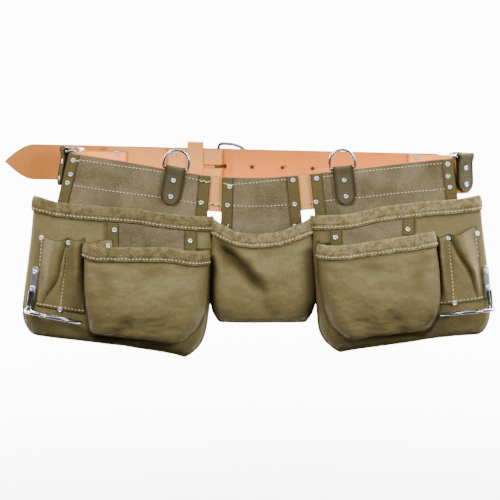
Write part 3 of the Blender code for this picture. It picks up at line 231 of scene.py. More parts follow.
# %% Uneven shine
uneven, uneven_in, uneven_out = make_group(
    "uneven_shine",
    [("Vector", VECTOR, (0, 0, 0)), ("Scale", FLOAT, 90.0), ("Low", FLOAT, 0.2), ("High", FLOAT, 0.4)],
    [("Roughness", FLOAT)],
)
smears = add_noise(uneven, uneven_in.outputs["Vector"], 90.0)
uneven.links.new(uneven_in.outputs["Scale"], smears.node.inputs["Scale"])
spread = uneven.nodes.new("ShaderNodeMapRange")
uneven.links.new(smears, spread.inputs["Value"])
uneven.links.new(uneven_in.outputs["Low"], spread.inputs["To Min"])
uneven.links.new(uneven_in.outputs["High"], spread.inputs["To Max"])
uneven.links.new(spread.outputs["Result"], uneven_out.inputs["Roughness"])
print("shader groups", [group.name for group in bpy.data.node_groups])

# %% Leather and suede


def principled(name, colour, roughness, metallic=0.0):
    """A Principled material with plain values."""
    material = bpy.data.materials.new(name)
    material.use_nodes = True
    shader = material.node_tree.nodes["Principled BSDF"]
    shader.inputs["Base Color"].default_value = (*colour, 1)
    shader.inputs["Roughness"].default_value = roughness
    shader.inputs["Metallic"].default_value = metallic
    return material


def make_leather(name, light, dark, roughness, patch, fine_scale, contrast, grain, crease, pores, strength,
                 sheen, shade_share=0.3):
    """Leather or suede: mottled colour, painted shade and dark edges, a grain bump and uneven shine."""
    material = principled(name, light, roughness[0])
    tree = material.node_tree
    shader = tree.nodes["Principled BSDF"]
    place = tree.nodes.new("ShaderNodeTexCoord").outputs["Object"]
    colour = tree.nodes.new("ShaderNodeGroup")
    colour.node_tree = mottle
    tree.links.new(place, colour.inputs["Vector"])
    colour.inputs["Light"].default_value = (*light, 1)
    colour.inputs["Dark"].default_value = (*dark, 1)
    colour.inputs["Patch"].default_value = patch
    colour.inputs["Fine"].default_value = fine_scale
    colour.inputs["Contrast"].default_value = contrast
    # The edge attribute holds painted shade and the cut edges' own darker colour; it also dims the shine
    # there
    edge = tree.nodes.new("ShaderNodeAttribute")
    edge.attribute_name = "edge"
    painted_shade = tree.nodes.new("ShaderNodeMix")
    painted_shade.data_type = "RGBA"
    tree.links.new(edge.outputs["Fac"], painted_shade.inputs[0])
    tree.links.new(colour.outputs["Color"], painted_shade.inputs[6])
    painted_shade.inputs[7].default_value = (*[part * shade_share for part in dark], 1)
    tree.links.new(painted_shade.outputs[2], shader.inputs["Base Color"])
    shine = tree.nodes.new("ShaderNodeMapRange")
    tree.links.new(colour.outputs["Mask"], shine.inputs["Value"])
    shine.inputs["To Min"].default_value = roughness[1]
    shine.inputs["To Max"].default_value = roughness[0]
    tree.links.new(shine.outputs["Result"], shader.inputs["Roughness"])
    skin = tree.nodes.new("ShaderNodeGroup")
    skin.node_tree = relief
    tree.links.new(place, skin.inputs["Vector"])
    skin.inputs["Grain"].default_value = grain
    skin.inputs["Crease"].default_value = crease
    skin.inputs["Pores"].default_value = pores
    skin.inputs["Strength"].default_value = strength
    tree.links.new(skin.outputs["Normal"], shader.inputs["Normal"])
    dull = tree.nodes.new("ShaderNodeMapRange")
    tree.links.new(edge.outputs["Fac"], dull.inputs["Value"])
    dull.inputs["From Max"].default_value = 0.4
    dull.inputs["To Min"].default_value = 0.20
    dull.inputs["To Max"].default_value = 0.0
    tree.links.new(dull.outputs["Result"], shader.inputs["Specular IOR Level"])
    shader.inputs["Sheen Weight"].default_value = sheen
    shader.inputs["Sheen Roughness"].default_value = 0.6
    return material


# Light and dark colours and the roughness of both, then patch, fine, contrast, grain, crease, pores,
# strength, sheen and, in the belt's leathers, how much of the dark colour the painted shade and dark edges
# keep
LEATHER_LOOK = {
    "smooth": ((0.215, 0.170, 0.074), (0.118, 0.090, 0.032), (0.46, 0.60),
               13, 240, 2.0, 1100, 60, 0.5, 0.30, 0.0),
    "suede": ((0.221, 0.176, 0.099), (0.111, 0.086, 0.044), (0.90, 0.98),
              20, 480, 4.4, 1500, 200, 0.3, 0.70, 0.03),
    "binding": ((0.285, 0.223, 0.108), (0.140, 0.104, 0.043), (0.88, 0.97),
                120, 420, 5.2, 900, 240, 0.3, 1.00, 0.03),
    "tab": ((0.114, 0.093, 0.047), (0.063, 0.051, 0.025), (0.72, 0.85),
            40, 520, 2.0, 1200, 150, 0.4, 0.35, 0.0),
    "tan": ((0.595, 0.229, 0.048), (0.500, 0.172, 0.034), (0.55, 0.66),
            16, 480, 1.1, 1500, 120, 0.3, 0.12, 0.0, 0.6),
    "pale": ((0.830, 0.385, 0.122), (0.735, 0.310, 0.090), (0.66, 0.78),
             20, 560, 1.2, 1500, 150, 0.3, 0.15, 0.05, 0.5),
    # A darker copy of the pale leather, as painted shade on the keeper and the buckle strap
    "cream": ((0.570, 0.296, 0.086), (0.505, 0.238, 0.064), (0.66, 0.78),
              20, 560, 1.2, 1500, 150, 0.3, 0.15, 0.05, 0.5),
}
looks = {name: make_leather("leather_" + name, *values) for name, values in LEATHER_LOOK.items()}
print("leathers", list(looks))

# %% Thread and metals
thread_look = principled("waxed_thread", (0.66, 0.58, 0.38), 0.7)
chrome_look = principled("bright_chrome", (0.27, 0.28, 0.30), 0.22, 1.0)
buckle_look = principled("dark_steel", (0.085, 0.085, 0.095), 0.26, 1.0)
zinc_look = principled("zinc_plate", (0.74, 0.80, 0.84), 0.32, 0.9)
steel_look = principled("dull_plate", (0.42, 0.44, 0.46), 0.38, 1.0)
# This dark colour paints the shadow inside holes
hole_shadow_look = principled("punched_edge", (0.045, 0.022, 0.012), 0.9)
for material, scale in ((chrome_look, 90.0), (buckle_look, 90.0), (zinc_look, 480.0), (steel_look, 160.0)):
    tree = material.node_tree
    shader = tree.nodes["Principled BSDF"]
    place = tree.nodes.new("ShaderNodeTexCoord").outputs["Object"]
    shine = tree.nodes.new("ShaderNodeGroup")
    shine.node_tree = uneven
    tree.links.new(place, shine.inputs["Vector"])
    rough = shader.inputs["Roughness"].default_value
    shine.inputs["Scale"].default_value = scale
    shine.inputs["Low"].default_value = rough * 0.75
    shine.inputs["High"].default_value = rough * 1.3
    tree.links.new(shine.outputs["Roughness"], shader.inputs["Roughness"])
tree = thread_look.node_tree
place = tree.nodes.new("ShaderNodeTexCoord").outputs["Object"]
twist = tree.nodes.new("ShaderNodeBump")
twist.inputs["Strength"].default_value = 0.5
twist.inputs["Distance"].default_value = 0.0003
tree.links.new(add_noise(tree, place, 1800.0), twist.inputs["Height"])
tree.links.new(twist.outputs["Normal"], tree.nodes["Principled BSDF"].inputs["Normal"])
backdrop_mesh.materials.append(principled("backdrop", (0.96, 0.96, 0.96), 0.9))
print("materials", len(bpy.data.materials))

# %% [markdown]
# ## Mesh helpers
# Nearly everything on the apron is cut from a hide of even thickness. So a leather piece is a grid of points
# on the middle of its wall. `leather` gives the grid its thickness with Solidify and soft edges with Bevel,
# `bake` turns the result into a plain mesh, and `settle` lets it ride on its body. Boxes could be cut and
# bent instead, but a grid can follow any curve and keeps the wall even.

# %% Finished pieces
made_pieces = {}


def bake(piece):
    """Turns a piece's modifiers into plain mesh."""
    bpy.context.view_layer.update()
    evaluated = piece.evaluated_get(bpy.context.evaluated_depsgraph_get())
    mesh = bpy.data.meshes.new_from_object(evaluated)
    name = piece.name
    mesh.name = name
    place = piece.matrix_world.copy()
    bpy.data.objects.remove(piece)
    solid = add_object(name, mesh)
    solid.matrix_world = place
    return solid


def settle(piece, nodes=(), body="apron"):
    """Lets a finished piece ride on its body and the frame's nodes it stands for."""
    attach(piece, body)
    if nodes:
        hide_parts(*nodes)
    made_pieces[piece.name] = len(piece.data.polygons)
    return piece


def mesh_object(name, points, faces, materials):
    """A smooth-shaded mesh object."""
    mesh = bpy.data.meshes.new(name)
    mesh.from_pydata([tuple(point) for point in points], [], faces)
    for material in materials:
        mesh.materials.append(material)
    for polygon in mesh.polygons:
        polygon.use_smooth = True
    return add_object(name, mesh)


# %% Leather from a grid


def grid_faces(rows, columns, start=0, closed=False):
    """Quads of a grid whose points run row by row."""
    faces = []
    for row in range(rows if closed else rows - 1):
        for column in range(columns - 1):
            first = start + row * columns + column
            below = start + ((row + 1) % rows) * columns + column
            faces.append((first, first + 1, below + 1, below))
    return faces


# As a leather mask this darkens a piece's rims: partly the cut edge's own colour, partly painted shadow
# beside it
def side_mask(grid, border=0.0013, ends=False):
    """1 along the sides of a grid, and along its ends if asked, falling to 0 over the border's width."""
    near = np.full(grid.shape[:2], 1.0)
    for axis in (1, 0) if ends else (1,):
        steps = np.linalg.norm(np.diff(grid, axis=axis), axis=-1)
        run = np.concatenate([np.zeros_like(np.take(steps, [0], axis)), np.cumsum(steps, axis)], axis)
        near = np.minimum(near, np.minimum(run, np.take(run, [-1], axis) - run))
    return np.clip(1.25 - near / border, 0, 1)


def leather(name, grids, thickness, materials, outward, edge=0.0005, closed=False, masks=None):
    """Leather from grids of points on the middle of its wall; outward is a rough outer direction."""
    points = []
    faces = []
    shade = []
    for index, grid in enumerate(grids):
        shade.append(masks[index].ravel() if masks else np.zeros(grid.shape[0] * grid.shape[1]))
        rows, columns = grid.shape[:2]
        start = len(points)
        part = grid_faces(rows, columns, start, closed)
        points.extend(grid.reshape(-1, 3))
        first = np.cross(grid[rows // 2, columns // 2 + 1] - grid[rows // 2, columns // 2],
                         grid[rows // 2 + 1, columns // 2] - grid[rows // 2, columns // 2])
        if np.dot(first, outward) < 0:
            part = [face[::-1] for face in part]
        faces.extend(part)
    piece = mesh_object(name + "_leather", points, faces, materials)
    # The masks become the edge attribute: painted shade, and the cut edges' own darker colour
    layer = piece.data.attributes.new("edge", "FLOAT", "POINT")
    layer.data.foreach_set("value", np.concatenate(shade))
    wall = piece.modifiers.new("wall", "SOLIDIFY")
    wall.thickness = thickness
    wall.offset = 0.0
    if len(materials) > 1:
        wall.material_offset = 1
        wall.material_offset_rim = 1
    rounding = piece.modifiers.new("edge", "BEVEL")
    rounding.width = edge
    rounding.segments = 2
    rounding.limit_method = "ANGLE"
    rounding.angle_limit = math.radians(50)
    return piece


print("leather is ready")

# %% Lines, wires and waves


def ease(start, end, leaving, arriving, t):
    """Values a share t of the way from start to end, with the slopes it leaves and arrives at."""
    return (start * (2 * t**3 - 3 * t**2 + 1) + leaving * (t**3 - 2 * t**2 + t)
            + end * (3 * t**2 - 2 * t**3) + arriving * (t**3 - t**2))


def spline(points, steps):
    """A smooth line through unevenly spaced points as an array."""
    points = np.array(points, float)
    spans = np.maximum(np.linalg.norm(np.diff(points, axis=0), axis=-1), 0.00001)[:, None]
    rates = np.diff(points, axis=0) / spans
    inner = (rates[:-1] * spans[1:] + rates[1:] * spans[:-1]) / (spans[1:] + spans[:-1])
    slopes = np.vstack([rates[:1], inner, rates[-1:]])
    t = (np.arange(steps) / steps)[:, None]
    line = []
    for index, span in enumerate(spans):
        line.extend(ease(points[index], points[index + 1], slopes[index] * span, slopes[index + 1] * span, t))
    line.append(points[-1])
    return np.array(line)


def wire(name, points, radius, material, closed=False, sides=6):
    """A round wire along points, as plain mesh."""
    curve = bpy.data.curves.new(name, "CURVE")
    curve.dimensions = "3D"
    curve.bevel_depth = radius
    curve.bevel_resolution = sides
    curve.use_fill_caps = True
    line = curve.splines.new("POLY")
    line.points.add(len(points) - 1)
    line.points.foreach_set("co", np.hstack([np.array(points, float), np.ones((len(points), 1))]).ravel())
    line.use_cyclic_u = closed
    curve.materials.append(material)
    return bake(add_object(name + "_wire", curve))


NOISE_FALL, NOISE_STEP, NOISE_LAYERS = 0.7, 2.1, 3


def ruffle(x, z, scale, seed):
    """Smooth noise from -1 to 1 over places x, z, for waves in leather."""
    flat = []
    for a, b in zip(x.ravel() * scale, z.ravel() * scale):
        flat.append(noise.fractal(Vector((a, seed, b)), NOISE_FALL, NOISE_STEP, NOISE_LAYERS))
    return np.array(flat).reshape(x.shape)


print("wires and waves are ready")

# %% [markdown]
# ## The shape's tables
# A pouch is narrow at its mouth, swells and draws in again at its foot. Sculpting would give the shape too,
# but a table of shares of named sizes can be read and changed. Rows of the section tables run from the mouth
# down.

# %% Sizes
GAP = 0.0003
BELT_WIDTH = 0.0508
BELT_THICK = 0.0030
LOOP_LEFT = 0.2820
LOOP_RIGHT = 0.2922
LOOP_DEPTH = 0.0540
LEFT_CORNER = 0.0120
BAND_REACH = 0.2755
BAND_SAG = 0.0350
BAND_END_DROP = 0.0060
BAND_END_LEFT = 0.1966
BAND_END_RIGHT = 0.2052
BAND_END_LOW = 0.0080
BACK_DROP = 0.0056
BACK_SLOPE = -0.0233
LEFT_LEAN = math.radians(10.0)
RIGHT_LEAN = math.radians(-2.0)
PANEL_WALL = 0.0020
BINDING_WALL = 0.0013
BINDING_HEIGHT = 0.0176
BINDING_INSIDE = 0.0120
WING_WIDTH = 0.0160
SQUARENESS = 0.62
FRONT_Y = -LOOP_DEPTH / 2
BACK_Y = LOOP_DEPTH / 2
PANEL_FACE = FRONT_Y - GAP - PANEL_WALL

BAND_LINE = (
    (-1.00, 0.000),
    (-0.70, 0.370),
    (-0.40, 0.800),
    (-0.20, 0.960),
    (0.00, 0.995),
    (0.20, 0.870),
    (0.50, 0.620),
    (0.75, 0.385),
    (1.00, 0.190),
)

print("belt", BELT_WIDTH, "wide, loop", LOOP_LEFT + LOOP_RIGHT, "long")

# %% Section tables
# Section rows: down, outer, inner, depth, wrap_outer, wrap_inner
LEFT_SECTIONS = (
    (0.00, 1.000, 1.000, 0.86, 50, 24),
    (0.25, 1.035, 1.000, 0.95, 42, 20),
    (0.50, 1.085, 0.985, 1.00, 30, 16),
    (0.70, 1.130, 0.950, 1.00, 18, 10),
    (0.82, 1.148, 0.915, 0.92, 10, 6),
    (0.90, 1.128, 0.862, 0.84, 5, 3),
    (0.96, 1.080, 0.775, 0.70, 2, 1),
    (0.985, 1.040, 0.720, 0.50, 1, 1),
    (1.00, 1.005, 0.680, 0.10, 0, 0),
)
RIGHT_SECTIONS = (
    (0.00, 1.000, 1.000, 0.86, 50, 20),
    (0.25, 1.045, 0.990, 0.95, 42, 18),
    (0.50, 1.100, 0.965, 1.00, 30, 14),
    (0.70, 1.135, 0.930, 1.00, 18, 10),
    (0.82, 1.145, 0.908, 0.92, 10, 6),
    (0.90, 1.128, 0.845, 0.84, 5, 3),
    (0.96, 1.085, 0.745, 0.70, 2, 1),
    (0.985, 1.050, 0.690, 0.50, 1, 1),
    (1.00, 1.020, 0.650, 0.10, 0, 0),
)
CENTER_SECTIONS = (
    (0.00, 1.035, 1.030, 0.82, 40, 40),
    (0.25, 1.066, 1.085, 0.92, 34, 34),
    (0.50, 1.085, 1.130, 1.00, 26, 26),
    (0.75, 1.100, 1.165, 0.98, 14, 14),
    (0.88, 1.050, 1.100, 0.87, 7, 7),
    (0.95, 0.970, 1.020, 0.74, 3, 3),
    (0.98, 0.930, 0.975, 0.52, 1, 1),
    (1.00, 0.895, 0.940, 0.10, 0, 0),
)
LEFT_SMALL_SECTIONS = (
    (0.00, 1.000, 1.000, 0.84, 48, 30),
    (0.25, 1.005, 1.000, 0.94, 40, 25),
    (0.45, 1.005, 0.985, 1.00, 30, 18),
    (0.66, 0.985, 0.940, 0.98, 18, 12),
    (0.80, 0.970, 0.865, 0.88, 10, 7),
    (0.92, 0.950, 0.665, 0.80, 4, 3),
    (0.97, 0.925, 0.560, 0.62, 1, 1),
    (1.00, 0.880, 0.470, 0.10, 0, 0),
)
RIGHT_SMALL_SECTIONS = (
    (0.00, 0.985, 1.000, 0.84, 42, 36),
    (0.25, 1.060, 0.995, 0.94, 36, 30),
    (0.45, 1.095, 0.970, 1.00, 28, 22),
    (0.66, 1.105, 0.885, 0.98, 18, 14),
    (0.80, 1.075, 0.830, 0.88, 10, 8),
    (0.92, 0.985, 0.625, 0.80, 4, 3),
    (0.97, 0.920, 0.520, 0.62, 1, 1),
    (1.00, 0.850, 0.450, 0.10, 0, 0),
)

print("section rows", len(LEFT_SECTIONS), len(RIGHT_SECTIONS), len(CENTER_SECTIONS))

# %% Mouths, bottoms and dents
# Mouth and bottom lines: across from -1 at the inner side to 1 at the outer side, then the share fallen
LEFT_RIM = ((-1, 1.00), (-0.75, 0.94), (-0.42, 0.78), (-0.15, 0.59), (0.25, 0.47), (0.70, 0.29), (1, 0))
RIGHT_RIM = ((-1, 0.98), (-0.55, 0.85), (-0.20, 0.53), (0.05, 0.39), (0.40, 0.24), (0.70, 0.15), (1, 0))
CENTER_RIM = ((-1, 0), (-0.70, 0.42), (-0.38, 0.82), (0, 1.00), (0.24, 1.00), (0.55, 0.79), (1, 0))
LEFT_SMALL_RIM = (
    (-1, 1.00), (-0.72, 0.95), (-0.40, 0.55), (-0.08, 0.50), (0.56, 0.52), (0.84, 0.50), (1, 0.12),
)
RIGHT_SMALL_RIM = ((-1, 0.95), (-0.73, 1.00), (-0.30, 0.77), (0.38, 0.35), (1, 0))
LEFT_BOTTOM = ((-1, 1.00), (-0.83, 0.85), (-0.28, 0.59), (0.27, 0.32), (1, 0))
RIGHT_BOTTOM = ((-1, 1.00), (-0.82, 0.88), (0.05, 0.48), (0.42, 0.21), (0.67, 0.08), (1, 0))
LEVEL_LINE = ((-1, 0), (1, 0))
SLANT_LINE = ((-1, 1), (1, 0))

# Dents: from across and down, to across and down, width and depth
CENTER_DENTS = (
    (0.84, 0.17, 0.00, 0.60, 0.066, 0.34),
    (0.90, 0.12, 0.62, 0.40, 0.090, 0.20),
    (0.45, 0.16, -0.25, 0.50, 0.110, -0.10),
    (-0.20, 0.22, 0.15, 0.30, 0.070, 0.08),
    (-0.55, 0.30, -0.70, 0.75, 0.110, -0.08),
    (0.10, 0.66, -0.30, 0.95, 0.090, 0.07),
)
LEFT_DENTS = (
    (-0.72, 0.55, -0.40, 0.95, 0.080, 0.10),
    (0.55, 0.05, 0.20, 0.12, 0.060, 0.06),
)
RIGHT_DENTS = (
    (-0.60, 0.55, -0.35, 0.95, 0.080, 0.10),
    (0.60, 0.05, 0.30, 0.12, 0.060, 0.06),
)
SMALL_DENTS = (
    (0.80, 0.15, 0.60, 0.60, 0.070, 0.10),
    (-0.10, 0.45, -0.25, 0.80, 0.140, -0.07),
    (-0.30, 0.20, 0.10, 0.32, 0.080, 0.08),
    (0.25, 0.78, 0.55, 0.97, 0.060, 0.09),
)


print("dents", len(CENTER_DENTS), len(LEFT_DENTS), len(RIGHT_DENTS), len(SMALL_DENTS))

# %% Reading the tables


def smooth_table(rows, column=1):
    """A smooth function through the rows of a table."""
    xs = np.array([row[0] for row in rows], float)
    ys = np.array([row[column] for row in rows], float)
    count = len(xs)
    before = np.maximum(np.arange(count) - 1, 0)
    after = np.minimum(np.arange(count) + 1, count - 1)
    slopes = (ys[after] - ys[before]) / (xs[after] - xs[before])
    places = np.linspace(xs[0], xs[-1], 500)
    at = np.clip(np.searchsorted(xs, places, "right") - 1, 0, count - 2)
    span = xs[at + 1] - xs[at]
    t = (places - xs[at]) / span
    values = ease(ys[at], ys[at + 1], slopes[at] * span, slopes[at + 1] * span, t)
    return lambda x: np.interp(x, places, values)


read_band = smooth_table(BAND_LINE)


def band_height(x):
    """Height of the band's middle line at the front."""
    return -BAND_END_DROP - BAND_SAG * read_band(np.asarray(x) / BAND_REACH)


def band_slope(x):
    """Rise of the band's middle line for its run."""
    return (band_height(x + 0.002) - band_height(x - 0.002)) / 0.004


def band_top(x):
    """Height of the panels' top edge."""
    return band_height(x) + BELT_WIDTH / 2 * np.sqrt(1 + band_slope(x) ** 2) - 0.001


def back_height(x):
    """Height of the back straps' middle line."""
    return -BACK_DROP + BACK_SLOPE * x


print("band falls", round(float(band_height(BAND_REACH) - band_height(0.0)), 4), "to its middle")

# %% [markdown]
# ## What a bag is
# A bag knows where its wall is for a share across, a share forward and a share down. Another piece can ask it
# for the y of its outer face, so a small pouch lies on a large one and follows its dents. A Shrinkwrap could
# press one on the other, but asking the bag keeps the gap between them the same everywhere.

# %% The bag
RIM_STIFF = 0.13
DENT_TAPER = 0.6
WAVE, WAVE_SCALE = 0.0016, 16.0
RIPPLE, RIPPLE_SCALE, RIPPLE_FLATNESS = 0.0007, 48.0, 1.6
BACK_FALL = 0.0045
WING_ROWS = 30
WING_FOOT = -0.12
WING_COLUMNS = np.array([0.0, 0.05, 0.10, 0.30, 0.70, 0.90, 0.95, 1.0])


def keep_sign(value, power):
    """Raises the size of a value to a power and keeps its sign."""
    return np.sign(value) * np.abs(value) ** power


class Bag:
    """The shape of one pouch."""

    def __init__(self, centre, half, depth, side, rim, bottom, sections, dents, wall, tops, base, top_line,
                 seed):
        self.centre, self.half, self.depth, self.side = centre, half, depth, side
        self.rim_drop, self.rim_fall, self.rim_line = rim[0], rim[1], smooth_table(rim[2])
        self.bottom_drop, self.bottom_fall, self.bottom_line = bottom[0], bottom[1], smooth_table(bottom[2])
        self.section = [None] + [smooth_table(sections, column) for column in range(1, 6)]
        self.dents, self.wall, self.tops = dents, wall, tops
        self.base, self.top_line, self.seed = base, top_line, seed
        self.straight = base is not on_panel

    def x(self, across, down):
        """Place across, from 1 at the outer side to -1 at the inner side."""
        reach = np.where(across > 0, self.section[1](down), self.section[2](down))
        return self.centre + self.side * self.half * across * reach

    def rim(self, across):
        """Height of the mouth's edge."""
        return -self.rim_drop - self.rim_fall * self.rim_line(across)

    def z(self, across, down):
        """Height from 0 at the mouth to 1 at the bottom."""
        low = -self.bottom_drop - self.bottom_fall * self.bottom_line(across)
        return self.rim(across) + (low - self.rim(across)) * down

    def dent(self, x, z, down):
        """How far the dents push the front back."""
        total = np.zeros(np.shape(x))
        for across, start_down, end_across, end_down, width, depth in self.dents:
            start = np.array([self.x(across, start_down), self.z(across, start_down)])
            end = np.array([self.x(end_across, end_down), self.z(end_across, end_down)])
            way = end - start
            share = np.clip(((x - start[0]) * way[0] + (z - start[1]) * way[1]) / way.dot(way), 0, 1)
            distance = np.hypot(x - start[0] - way[0] * share, z - start[1] - way[1] * share)
            hollow = np.exp(-((distance / (width * 2 * self.half)) ** 2))
            total += depth * self.depth * hollow * (1 - DENT_TAPER * abs(2 * share - 1) ** 4)
        return total * np.clip(down / RIM_STIFF - 1, 0, 1)

    def push(self, x, z, down):
        """How far dents and soft waves push the front back."""
        waves = WAVE * ruffle(x, z, WAVE_SCALE, self.seed)
        waves = waves + RIPPLE * ruffle(x, z * RIPPLE_FLATNESS, RIPPLE_SCALE, self.seed + 7)
        return self.dent(x, z, down) + waves * np.clip(down * 5, 0.15, 1)

    def point(self, across, forward, down):
        """A point on the middle of the wall."""
        x = self.x(across, down)
        z = self.z(across, down) - BACK_FALL * np.clip(1 - forward, 0, 1) ** 4 * (1 - down)
        depth = self.depth * self.section[3](down)
        y = self.base(x, z) - self.wall / 2 - depth * forward + self.push(x, z, down) * forward**3
        return np.stack(np.broadcast_arrays(x, y, z), -1)

    def valley(self, x, z, down):
        """How deep in a fold a place lies, from 0 to 1."""
        return np.clip(self.dent(x, z, down) / (0.30 * self.depth), 0, 1)

    def wrap(self, outer, down):
        """How far the wall comes round behind its widest place."""
        return np.radians(np.maximum(self.section[4 if outer else 5](down), 0))

    def level(self, down, shares):
        """Across and forward shares at even steps round one level of the wall."""
        wraps = self.wrap(True, down), self.wrap(False, down)
        turn = np.linspace(-wraps[0], math.pi + wraps[1], 241)
        across = keep_sign(np.cos(turn), SQUARENESS)
        behind = np.where(turn < math.pi / 2, np.sin(wraps[0]), np.sin(wraps[1])) ** SQUARENESS
        forward = (keep_sign(np.sin(turn), SQUARENESS) + behind) / (1 + behind)
        steps = np.hypot(np.diff(across), np.diff(forward) * self.depth / self.half)
        length = np.concatenate([[0], np.cumsum(steps)])
        places = np.asarray(shares) * length[-1]
        return np.interp(places, length, across), np.interp(places, length, forward)

    def grid(self, downs, shares):
        """Points of the wall for lists of downs and of shares round it."""
        rows = []
        for down in downs:
            across, forward = self.level(down, shares)
            rows.append(self.point(across, forward, np.full(across.shape, down)))
        return np.array(rows)

    def face(self, x, z):
        """The y of the outer face of the front at places x, z."""
        x, z = np.broadcast_arrays(np.asarray(x, float), np.asarray(z, float))

        def middle(px, pz):
            down = np.full(px.shape, 0.5)
            for _ in range(6):
                outer = (px - self.centre) * self.side > 0
                reach = self.half * np.where(outer, self.section[1](down), self.section[2](down))
                across = np.clip((px - self.centre) * self.side / reach, -0.995, 0.995)
                down = np.clip((self.rim(across) - pz) / (self.rim(across) - self.z(across, 1.0)), 0, 0.995)
            behind = np.where(across > 0, np.sin(self.wrap(True, down)), np.sin(self.wrap(False, down)))
            behind = behind**SQUARENESS
            rise = np.sqrt(np.maximum(1 - np.abs(across) ** (2 / SQUARENESS), 0))
            forward = (rise**SQUARENESS + behind) / (1 + behind)
            return self.point(across, forward, down)[..., 1]

        step = 0.001
        here = middle(x, z)
        slope_x = (middle(x + step, z) - here) / step
        slope_z = (middle(x, z + step) - here) / step
        return here - self.wall / 2 * np.minimum(np.sqrt(1 + slope_x**2 + slope_z**2), 2.5)

    def flange(self, outer, down=0.0):
        """The share across where the wall's back edge lies."""
        return np.cos(self.wrap(outer, down)) ** SQUARENESS * (1 if outer else -1)

    def wing_x(self, outer, share):
        """Outer edge of a wing, from the mouth at 0 to its top at 1."""
        start = self.tops[0 if outer else 1] if self.straight else self.x(self.flange(outer), 0.0)
        return start + (self.tops[0 if outer else 1] - start) * share

    def wing(self, outer):
        """Points of the strip that runs up beside the mouth."""
        inward = -self.side if outer else self.side
        share = np.linspace(WING_FOOT, 1, WING_ROWS)[:, None]
        x = self.wing_x(outer, share) + inward * WING_WIDTH * WING_COLUMNS[None, :]
        start = self.rim(self.flange(outer))
        z = start + (self.top_line(x) - start) * share
        y = self.base(x, z) - self.wall / 2
        return np.stack(np.broadcast_arrays(x, y, z), -1)


print("a bag can be asked for its wall, face and wings")

# %% The five bags


def on_panel(x, z):
    """The suede panels' front, less the gap."""
    return np.full(np.shape(x), PANEL_FACE - GAP)


bags = {
    "left": Bag(-0.1970, 0.1240, 0.050, -1, (0.0412, 0.0288, LEFT_RIM), (0.2388, 0.0312, LEFT_BOTTOM),
                LEFT_SECTIONS, LEFT_DENTS, 0.0020, (-0.2755, -0.0755), on_panel, band_top, 3.0),
    "center": Bag(-0.0035, 0.0655, 0.048, -1, (0.0738, 0.0196, CENTER_RIM), (0.2198, 0.0010, LEVEL_LINE),
                  CENTER_SECTIONS, CENTER_DENTS, 0.0020, (-0.0590, 0.0475), on_panel, band_top, 11.0),
    "right": Bag(0.1840, 0.1170, 0.050, 1, (0.0405, 0.0290, RIGHT_RIM), (0.2372, 0.0258, RIGHT_BOTTOM),
                 RIGHT_SECTIONS, RIGHT_DENTS, 0.0020, (0.2660, 0.0650), on_panel, band_top, 23.0),
}


def seat_on(bag, lift):
    """A base that lies on a bag's front."""
    return lambda x, z: bag.face(x, z) - lift


def under_binding(bag):
    """Height just under a bag's binding."""
    return lambda x: bag.rim((x - bag.centre) * bag.side / bag.half) - BINDING_HEIGHT - 0.001


SEAT = 0.0014
PATCH_WALL = 0.0014
small_bags = {
    "left": Bag(-0.1628, 0.0845, 0.038, -1, (0.1002, 0.0137, LEFT_SMALL_RIM), (0.2300, 0.0160, SLANT_LINE),
                LEFT_SMALL_SECTIONS, SMALL_DENTS, 0.0018, (-0.2183, -0.0942),
                seat_on(bags["left"], SEAT + PATCH_WALL + GAP), under_binding(bags["left"]), 31.0),
    "right": Bag(0.1556, 0.0793, 0.038, 1, (0.0865, 0.0195, RIGHT_SMALL_RIM), (0.2260, 0.0140, SLANT_LINE),
                 RIGHT_SMALL_SECTIONS, SMALL_DENTS, 0.0018, (0.2090, 0.0925),
                 seat_on(bags["right"], SEAT + PATCH_WALL + GAP), under_binding(bags["right"]), 43.0),
}


print("bags", list(bags), "and small bags", list(small_bags))

# %% Shade on a pouch
FOLD_SHADE = 0.70
TURNED_SHADE = 0.70
RIM_SHADE, RIM_SHADE_FALL = 0.75, 0.0022
# Where a shade near the bottom starts, over what share it grows and how dark it gets
LOW_SHADES = ((0.94, 0.03, 0.60), (0.98, 0.01, 0.30))
NEAR_SHADE, NEAR_REACH, NEAR_TOP = 0.8, 0.006, 0.004


def turned_away(points):
    """How far each place of a grid turns away from the front, from 0 to 1."""
    normal = np.cross(np.gradient(points, axis=0), np.gradient(points, axis=1))
    length = np.maximum(np.linalg.norm(normal, axis=-1), 1e-12)
    return 1 - np.abs(normal[..., 1]) / length


